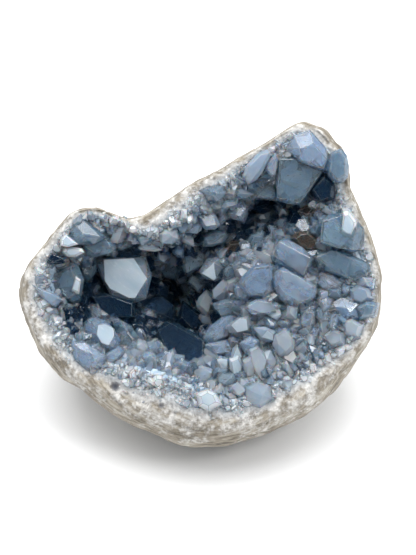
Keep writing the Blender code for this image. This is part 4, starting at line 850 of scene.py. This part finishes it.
def join_crystals(name, meshes, materials):
    """Makes one piece from many closed crystals."""
    data = bpy.data.meshes.new(name)
    whole = bmesh.new()
    for mesh in meshes:
        part = bpy.data.meshes.new("one")
        mesh.to_mesh(part)
        mesh.free()
        whole.from_mesh(part)
        bpy.data.meshes.remove(part)
    whole.to_mesh(data)
    whole.free()
    keep_in_size(data)
    piece = bpy.data.objects.new(name, data)
    bpy.context.collection.objects.link(piece)
    for material in materials:
        data.materials.append(material)
    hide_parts("crystal_crust")
    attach(piece, "root")


GLOW_MM = 0.6                    # how far light wanders in the cloudy part of a crystal


def celestite(name, dark, pale, clear, roughness, depth_colour, density):
    """Clear crystal: the colours its veils run between, how much light passes through them, how rough its
    faces are, and the colour and strength of what the way through it takes away (per metre)."""
    made, tree, shader = new_material(name)
    tone = add_node(tree, "ShaderNodeAttribute", {"attribute_name": "tone"}).outputs["Fac"]
    rise = add_node(tree, "ShaderNodeAttribute", {"attribute_name": "rise"}).outputs["Fac"]
    own = add_node(tree, "ShaderNodeAttribute", {"attribute_name": "own"}).outputs["Vector"]
    cloud = add_node(tree, "ShaderNodeTexNoise", None, {
        "Vector": own, "Scale": 1.0 / (6.0 * MM), "Detail": 2.0, "Roughness": 0.5}).outputs["Fac"]
    veil = add_node(tree, "ShaderNodeTexNoise", None, {
        "Vector": own, "Scale": 1.0 / (1.2 * MM), "Detail": 4.0, "Roughness": 0.7}).outputs["Fac"]
    sharp = add_node(tree, "ShaderNodeMapRange", None, {0: veil, 1: 0.56, 2: 0.7}).outputs[0]
    base = add_node(tree, "ShaderNodeMath", {"operation": "MULTIPLY_ADD"},
                    {0: tone, 1: 0.5, 2: -0.55}).outputs[0]
    lifted = add_node(tree, "ShaderNodeMath", {"operation": "MULTIPLY_ADD"},
                      {0: rise, 1: 0.35, 2: base}).outputs[0]
    clouded = add_node(tree, "ShaderNodeMath", {"operation": "ADD"}, {0: cloud, 1: lifted}).outputs[0]
    shade = add_node(tree, "ShaderNodeMath", {"operation": "MULTIPLY_ADD", "use_clamp": True},
                     {0: sharp, 1: 0.4, 2: clouded}).outputs[0]
    body_colour = add_node(tree, "ShaderNodeMix", {"data_type": "RGBA"},
                           {0: shade, 6: colour(dark), 7: colour(pale)}).outputs[2]
    tree.links.new(body_colour, shader.inputs["Base Color"])
    shader.inputs["Transmission Weight"].default_value = clear
    shader.inputs["IOR"].default_value = 1.62
    shader.inputs["Roughness"].default_value = roughness
    shader.inputs["Subsurface Weight"].default_value = 1.0
    shader.inputs["Subsurface Scale"].default_value = GLOW_MM * MM
    shader.inputs["Subsurface Radius"].default_value = (0.5, 0.8, 1.0)
    absorb = add_node(tree, "ShaderNodeVolumeAbsorption", None,
                      {"Color": colour(depth_colour), "Density": density})
    tree.links.new(absorb.outputs[0], tree.nodes["Material Output"].inputs["Volume"])
    return made


# Celestite is a heavy clear sulphate with an IOR of 1.62. Veils of tiny inclusions make it milky, and
# its blue deepens with the length of the way through it, which the absorption gives.
FINISHES = {
    "clear": celestite("clear blue celestite", "#9CBFE0", "#F0F7FD", 0.88, 0.0, "#5F9FD6", 20.0),
    # The deep blue finish goes on the crystals in the pit, the alcove and other hollows. Its darkness is
    # partly their deeper blue and partly painted shade.
    "deep": celestite("deep blue celestite", "#1D4368", "#6E94B8", 0.9, 0.0, "#1F66B0", 220.0),
    "smoky": celestite("smoky grey green celestite", "#6F92A8", "#C2D8E4", 0.86, 0.0, "#4F90BA", 26.0),
    "milky": celestite("milky celestite", "#BDD3E8", "#FAFDFF", 0.8, 0.01, "#7AB0DC", 12.0),
    # The pale finish: real on the worn grains in the rim, and a painted reflection on some between ones, such
    # as mirror_facet and high_facet.
    "frost": celestite("pale celestite", "#C2CDD6", "#F8FAFB", 0.46, 0.1, "#B0C6D6", 10.0),
    "brown": celestite("greyish brown celestite", "#565351", "#A89B8E", 0.86, 0.05, "#6F7884", 120.0),
    "rust": celestite("rust stained celestite", "#9A6A3C", "#CFA983", 0.2, 0.3, "#A8825C", 60.0)}
# The cloudy zones are full of tiny inclusions, and glow pale or dark blue in the clear crystal round them.
CLOUDY = celestite("cloudy zone in celestite", "#9CB9D6", "#EEF5FC", 0.36, 0.12, "#8DB8DC", 6.0)
# Its dark colours are partly painted shade, as on the deep blue finish.
DIM = celestite("cloudy zone in deep blue celestite", "#0E2036", "#34516E", 0.6, 0.2, "#5F93C4", 20.0)
for finish in (FINISHES["deep"], FINISHES["brown"]):     # painted shade on their reflections: a dark blue tint, so that they mirror little light
    finish.node_tree.nodes["Principled BSDF"].inputs["Specular Tint"].default_value = colour("#3A5674")
for finish in (CLOUDY, DIM):     # they lie in the clear crystal, so light isn't bent at their outsides
    finish.node_tree.nodes["Principled BSDF"].inputs["IOR"].default_value = 1.0
# Chipped edges look paler than the clear body, partly from the chipping and partly as painted glint; the pale
# front face is a painted reflection.
CHIPS_AND_GLINT = celestite("chipped celestite edge with painted glint", "#C6D4E0", "#FAFCFD", 0.8, 0.04, "#8FB6D2", 14.0)
PAINTED_REFLECTION_FACE = celestite("celestite face with painted reflection", "#A3BBCD", "#E6F0F6", 0.36, 0.05, "#94B8D0", 14.0)

# Small crystals. Blocky prisms of 3.4 to 8 mm with wedge-shaped ends that fill the wall between the
# large ones, square to it and leaning to the mouth, and worn ones of 1.8 to 5 mm sunk in the inner part
# of the rim. Small and large crystals of one look grew together, and are joined as one piece.
FILL_SEED = 7
FILL_TRIES, SUNK_TRIES = 12000, 9000
FILL_LARGEST, FILL_SMALLEST = 8.0, 3.4       # mm
SUNK_SMALLEST, SUNK_LARGEST = 1.8, 5.0
HALF_WIDTH, LOWEST, HIGHEST = 74.0, -60.0, 66.0      # mm, where they are tried on the mouth's plane
FILL_FLARE, SUNK_FLARE = 1.7, 1.3            # how much wider they are at the foot
FOOT_MM = 2.0                    # how deep a foot goes into the wall (of drusy ones: twice their size)
SMALL_EDGE, WORN_EDGE = 0.06, 0.15           # mm, how wide their chipped edges are
APART, APART_SIZE = 0.84, 0.06   # how far they keep off: share of the other's ground and of their size
STEP = 1.5                       # mm, how far apart the wall is read to find which way it faces
DEEP_LEVEL = -9.0                # mm, the wall's level below which half of them are deep blue, painted shade in the deep parts
SUNK_SHARE = 0.72                # how much of a worn crystal's size lies in the rim


def small_crystal(foot, axis, size, rng, flare=1.0):
    """A prism with a wedge-shaped end and a slanting side or two, its foot sunk in the wall."""
    mesh = bmesh.new()
    wide, thick = size * MM * rng.uniform(0.7, 1.1), size * MM * rng.uniform(0.5, 0.95)
    tall = size * MM * rng.uniform(0.8, 1.35)
    sunk = FOOT_MM * MM
    bmesh.ops.create_cube(mesh, size=1.0)
    bmesh.ops.scale(mesh, vec=(wide, thick, tall + sunk), verts=mesh.verts)
    bmesh.ops.translate(mesh, vec=(0, 0, (tall - sunk) / 2), verts=mesh.verts)
    bmesh.ops.scale(mesh, vec=(flare, flare, 1.0), verts=[v for v in mesh.verts if v.co.z < 0.0])
    cuts = []                    # the two slopes of its end, its two slanting sides and some of its corners
    for sign in (-1, 1):
        cuts.append(((0, 0, tall * rng.uniform(0.75, 0.98)), (0, sign * rng.uniform(0.5, 1.6), 1)))
    cuts.append(((wide * 0.3, 0, tall * 0.66), (1, rng.uniform(-0.4, 0.4), rng.uniform(0.4, 1.2))))
    cuts.append(((-wide * 0.36, 0, tall * 0.72), (-1, rng.uniform(-0.4, 0.4), rng.uniform(0.3, 0.9))))
    for side_u, side_v in ((1, 1), (-1, 1), (1, -1), (-1, -1)):
        if rng.random() < 0.5:
            cuts.append(((side_u * wide * 0.36, side_v * thick * 0.36, 0),
                         (side_u, side_v * wide / thick, rng.uniform(-0.1, 0.5))))
    for point, normal in cuts:
        geometry = mesh.verts[:] + mesh.edges[:] + mesh.faces[:]
        cut = bmesh.ops.bisect_plane(mesh, geom=geometry, plane_co=point, plane_no=normal,
                                     clear_outer=True)
        edges = [e for e in cut["geom_cut"] if isinstance(e, bmesh.types.BMEdge)]
        if edges:
            bmesh.ops.contextual_create(mesh, geom=edges)
    turn = axis.to_track_quat("Z", "Y").to_matrix().to_4x4()
    spin = Matrix.Rotation(rng.uniform(0, 2 * math.pi), 4, "Z")
    bmesh.ops.transform(mesh, matrix=Matrix.Translation(foot) @ turn @ spin, verts=mesh.verts)
    return mesh


rng = np.random.default_rng(FILL_SEED)
for k in range(FILL_TRIES):
    u, v = rng.uniform(-HALF_WIDTH, HALF_WIDTH), rng.uniform(LOWEST, HIGHEST)
    size = FILL_LARGEST + (FILL_SMALLEST - FILL_LARGEST) * (k / FILL_TRIES)**0.6
    level, reach = (float(x) for x in wall(u, v))
    if reach > 1.02 - 0.02 * size:
        continue
    if any(math.hypot(u - a, v - b) < c * APART + size * APART_SIZE for a, b, c in taken):
        continue
    taken.append((u, v, size * 0.2))
    here = place(u, v, level)
    right = place(u + STEP, v, float(wall(u + STEP, v)[0])) - here
    up = place(u, v + STEP, float(wall(u, v + STEP)[0])) - here
    normal = right.cross(up).normalized()
    spread = Vector((rng.normal(0, 0.3), rng.normal(0, 0.3), rng.normal(0, 0.3)))
    axis = (normal * 0.75 + viewer * 0.45 + spread).normalized()
    draw = pick.random()
    # Painted shade: low on the wall and in the shaded patches, crystals take the dark deep blue finish.
    if (level < DEEP_LEVEL and draw < 0.5) or draw < 0.8 * painted_shade_at(u, v):
        look = "deep"
    elif draw < 0.25 or reach > 0.9:
        look = "milky"
    else:
        look = "smoky" if draw < 0.45 else "clear"
    stone = small_crystal(here, axis, size, rng, FILL_FLARE)
    if look != "deep":
        hearts.append(finished(heart_of(stone), pick.uniform(0.1, 0.9), axis=axis))
    groups[look].append(finished(stone, pick.uniform(0.0, 1.0), SMALL_EDGE, axis=axis))
for k in range(SUNK_TRIES):
    u, v = rng.uniform(-HALF_WIDTH, HALF_WIDTH), rng.uniform(LOWEST, HIGHEST)
    size = rng.uniform(SUNK_SMALLEST, SUNK_LARGEST)
    level, reach = (float(x) for x in wall(u, v))
    angle = math.degrees(math.atan2(v - CENTRE_V, u))
    rim_end = 0.99 + 0.5 * (float(curve("rind", angle)) / float(curve("hollow", angle)) - 1.0)
    if not 0.97 < reach < rim_end or any(math.hypot(u - a, v - b) < c + size * 0.15 for a, b, c in taken):
        continue
    taken.append((u, v, size * 0.3))
    axis = (viewer + 0.5 * Vector((rng.normal(0, 0.4), rng.normal(0, 0.4), rng.normal(0, 0.4)))).normalized()
    stone = small_crystal(place(u, v, level - SUNK_SHARE * size), axis, size, rng, SUNK_FLARE)
    look = "frost" if pick.random() < 0.5 else "milky"
    groups[look].append(finished(stone, pick.uniform(0.2, 0.8), WORN_EDGE, axis=axis))
join_crystals("cloudy_hearts", hearts, [CLOUDY])
join_crystals("dark_hearts", dark_hearts, [DIM])
for look, stones in groups.items():          # the pale edges, partly chipping and partly painted glint, are left off the deep blue ones
    edge = FINISHES["smoky"] if look == "deep" else CHIPS_AND_GLINT
    join_crystals(look + "_crystals", stones, [FINISHES[look], edge, PAINTED_REFLECTION_FACE])

# Drusy crystals. Stubby celestite of 1.4 to 3.2 mm that carpets the crust between the others, and the
# sugary grains of 0.4 to 1.1 mm of the broken rim. All grew where they stand, on the crust and the rock.
STONE_SHAPES = 5                 # different crystals to pick from
DRUSE_SPACING, SUGAR_SPACING = 1.7, 1.16     # mm, the least distance between two of them


def scatter_tree(name):
    """Node tree that sets crystals on a surface, each turned, sized and shaded at random."""
    tree = bpy.data.node_groups.new(name, "GeometryNodeTree")
    keys = {}
    for label, kind in (("Geometry", "Geometry"), ("Stones", "Collection"), ("Spacing", "Float"),
                        ("Smallest", "Float"), ("Largest", "Float"), ("Lean", "Float"),
                        ("Seed", "Int"), ("Finish", "Material")):
        socket = tree.interface.new_socket(label, in_out="INPUT", socket_type="NodeSocket" + kind)
        keys[label] = socket.identifier
    tree.interface.new_socket("Geometry", in_out="OUTPUT", socket_type="NodeSocketGeometry")
    given = add_node(tree, "NodeGroupInput").outputs
    cover = add_node(tree, "GeometryNodeInputNamedAttribute", {"data_type": "FLOAT"}, {"Name": "cover"})
    spots = add_node(tree, "GeometryNodeDistributePointsOnFaces", {"distribute_method": "POISSON"}, {
        "Mesh": given["Geometry"], "Distance Min": given["Spacing"], "Density Max": 2.0e6,
        "Density Factor": cover.outputs["Attribute"], "Seed": given["Seed"]})
    lean = add_node(tree, "ShaderNodeVectorMath", {"operation": "SCALE"},
                    {"Vector": (1.0, 1.0, 0.0), "Scale": given["Lean"]}).outputs[0]
    back = add_node(tree, "ShaderNodeVectorMath", {"operation": "SCALE"}, {0: lean, "Scale": -1.0}).outputs[0]
    top = add_node(tree, "ShaderNodeVectorMath", {"operation": "ADD"}, {0: lean, 1: (0.0, 0.0, 6.2832)})
    tilt = add_node(tree, "FunctionNodeRandomValue", {"data_type": "FLOAT_VECTOR"},
                    {0: back, 1: top.outputs[0], "Seed": given["Seed"]}).outputs[0]
    turn = add_node(tree, "FunctionNodeEulerToRotation", None, {"Euler": tilt}).outputs[0]
    facing = add_node(tree, "FunctionNodeRotateRotation", {"rotation_space": "LOCAL"},
                      {"Rotation": spots.outputs["Rotation"], "Rotate By": turn}).outputs[0]
    size = add_node(tree, "FunctionNodeRandomValue", {"data_type": "FLOAT"},
                    {2: given["Smallest"], 3: given["Largest"], "Seed": 3}).outputs[1]
    stones = add_node(tree, "GeometryNodeCollectionInfo", None,
                      {"Collection": given["Stones"], "Separate Children": True, "Reset Children": True})
    placed = add_node(tree, "GeometryNodeInstanceOnPoints", None, {
        "Points": spots.outputs["Points"], "Instance": stones.outputs[0], "Pick Instance": True,
        "Rotation": facing, "Scale": size}).outputs[0]
    shade = add_node(tree, "FunctionNodeRandomValue", {"data_type": "FLOAT"}, {"Seed": 5}).outputs[1]
    marked = add_node(tree, "GeometryNodeStoreNamedAttribute", {"data_type": "FLOAT", "domain": "INSTANCE"},
                      {"Geometry": placed, "Name": "tone", "Value": shade}).outputs[0]
    real = add_node(tree, "GeometryNodeRealizeInstances", None, {"Geometry": marked}).outputs[0]
    done = add_node(tree, "GeometryNodeSetMaterial", None,
                    {"Geometry": real, "Material": given["Finish"]}).outputs[0]
    add_node(tree, "NodeGroupOutput", None, {"Geometry": done})
    return tree, keys


def scattered(name, surface, node, slot, **wanted):
    """Makes a plain mesh piece of crystals scattered over a surface."""
    ground = bpy.data.objects.new(name + "_ground", surface.copy())
    bpy.context.collection.objects.link(ground)
    modifier = ground.modifiers.new("scatter", "NODES")
    modifier.node_group = SCATTER
    for label, value in wanted.items():
        modifier[SCATTER_KEYS[label]] = value
    depsgraph = bpy.context.evaluated_depsgraph_get()
    data = bpy.data.meshes.new_from_object(ground.evaluated_get(depsgraph))
    ground.modifiers.remove(modifier)
    bpy.data.objects.remove(ground)
    data.name = name
    keep_in_size(data)
    piece = bpy.data.objects.new(name, data)
    bpy.context.collection.objects.link(piece)
    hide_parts(node)
    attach(piece, "root")


SCATTER, SCATTER_KEYS = scatter_tree("scattered crystals")
stones = bpy.data.collections.new("stone shapes")
for k in range(STONE_SHAPES):
    mesh = small_crystal(Vector((0, 0, 0)), Vector((0, 0, 1)), 1.0, np.random.default_rng(100 + k))
    bmesh.ops.scale(mesh, vec=(1.0 / MM,) * 3, verts=mesh.verts)
    data = bpy.data.meshes.new("stone_%d" % k)
    mesh.to_mesh(data)
    mesh.free()
    stones.objects.link(bpy.data.objects.new("stone_%d" % k, data))
scattered("druse", crystal_bed.data, "crystal_crust", "celestite", Stones=stones, Seed=2, Lean=0.6,
          Spacing=DRUSE_SPACING * MM, Smallest=1.4 * MM, Largest=3.2 * MM, Finish=FINISHES["milky"])
add_values(rock_rind, "cover", [max(0.0, min(1.0, (share - 0.3) * 2.0)) for share in across])
# Sugary celestite: cloudy grains with rock dust on them, rough, and white to grey.
SUGAR = celestite("sugary celestite", "#A3A6A9", "#F4F3F0", 0.15, 0.25, "#C5CFD6", 30.0)
scattered("rim_sugar", rock_rind.data, "rock_shell", "rock", Stones=stones, Seed=4, Lean=1.2,
          Spacing=SUGAR_SPACING * MM, Smallest=0.4 * MM, Largest=1.1 * MM, Finish=SUGAR)
for stone in list(stones.objects):
    bpy.data.objects.remove(stone)
bpy.data.collections.remove(stones)

# Floor, light and camera. The stone lies on pale paper in even studio light, with a large softbox
# overhead and a small one to the right. Less light comes from where the photographer stands, and the
# camera looks straight at the tilted mouth.
HALF_FLOOR = 1.5
corners = [(x * HALF_FLOOR, y * HALF_FLOOR, 0) for x, y in ((-1, -1), (1, -1), (1, 1), (-1, 1))]
floor = make_piece("floor", corners, [(0, 1, 2, 3)])
# Uncoated paper: matt, and a little off white.
paper, tree, shader = new_material("pale paper")
shader.inputs["Base Color"].default_value = colour("#F4F4F4")
shader.inputs["Roughness"].default_value = 0.9
floor.data.materials.append(paper)

WORLD_LIGHT = 2.2
FRONT_LIGHT = 0.2                # share of it that comes from where the photographer stands
FRONT_FROM, FRONT_FULL = 0.6, 0.92   # cosine of the angle to there, where it starts to fall and is down
scene = bpy.context.scene
world = bpy.data.worlds.new("studio")
world.use_nodes = True
sky = world.node_tree
toward = add_node(sky, "ShaderNodeTexCoord").outputs["Generated"]
height = add_node(sky, "ShaderNodeSeparateXYZ", None, {0: toward}).outputs["Z"]
glow = add_node(sky, "ShaderNodeValToRGB", None, {"Fac": height}, [
    (0.0, "#9FA2A7"), (0.95, "#FFFFFF"), (0.55, "#B8BCC0")]).outputs["Color"]
front = add_node(sky, "ShaderNodeVectorMath", {"operation": "DOT_PRODUCT"},
                 {0: toward, 1: viewer}).outputs["Value"]
shaded = add_node(sky, "ShaderNodeMapRange", {"interpolation_type": "SMOOTHSTEP"},
                  {0: front, 1: FRONT_FROM, 2: FRONT_FULL, 3: 1.0, 4: FRONT_LIGHT}).outputs[0]
sky.links.new(glow, sky.nodes["Background"].inputs["Color"])
strength = add_node(sky, "ShaderNodeMath", {"operation": "MULTIPLY"}, {0: shaded, 1: WORLD_LIGHT}).outputs[0]
sky.links.new(strength, sky.nodes["Background"].inputs["Strength"])
scene.world = world


def softbox(name, position, target, size, watts):
    """Square lamp that is turned to a target."""
    lamp = bpy.data.lights.new(name, "AREA")
    lamp.shape = "SQUARE"
    lamp.size = size
    lamp.energy = watts
    made = bpy.data.objects.new(name, lamp)
    made.location = position
    made.rotation_euler = (Vector(target) - Vector(position)).to_track_quat("-Z", "Y").to_euler()
    bpy.context.collection.objects.link(made)


middle = place(0, CENTRE_V, 0)
softbox("overhead softbox", (-0.05, 0.2, 1.2), middle, 1.2, 15.0)
softbox("small softbox", (0.75, -0.45, 1.15), middle, 0.35, 4.0)

FRAME_HEIGHT = 555               # pixels
PIXEL = 0.4132                   # mm on the mouth's plane
AIM_U, AIM_V = 3.1, 2.3          # mm, what the middle of the frame looks at
SENSOR = 24.0                    # mm
camera = bpy.data.cameras.new("camera")
camera.sensor_fit = "VERTICAL"
camera.sensor_height = SENSOR
camera.lens = SENSOR * VIEW_DISTANCE / (FRAME_HEIGHT * PIXEL)
camera.clip_start = 0.01
eye = bpy.data.objects.new("camera", camera)
eye.location = place(0, 0, 0) + viewer * VIEW_DISTANCE * MM
eye.rotation_euler = (place(AIM_U, AIM_V, 0) - eye.location).to_track_quat("-Z", "Y").to_euler()
bpy.context.collection.objects.link(eye)
scene.camera = eye
scene.view_settings.view_transform = "Standard"
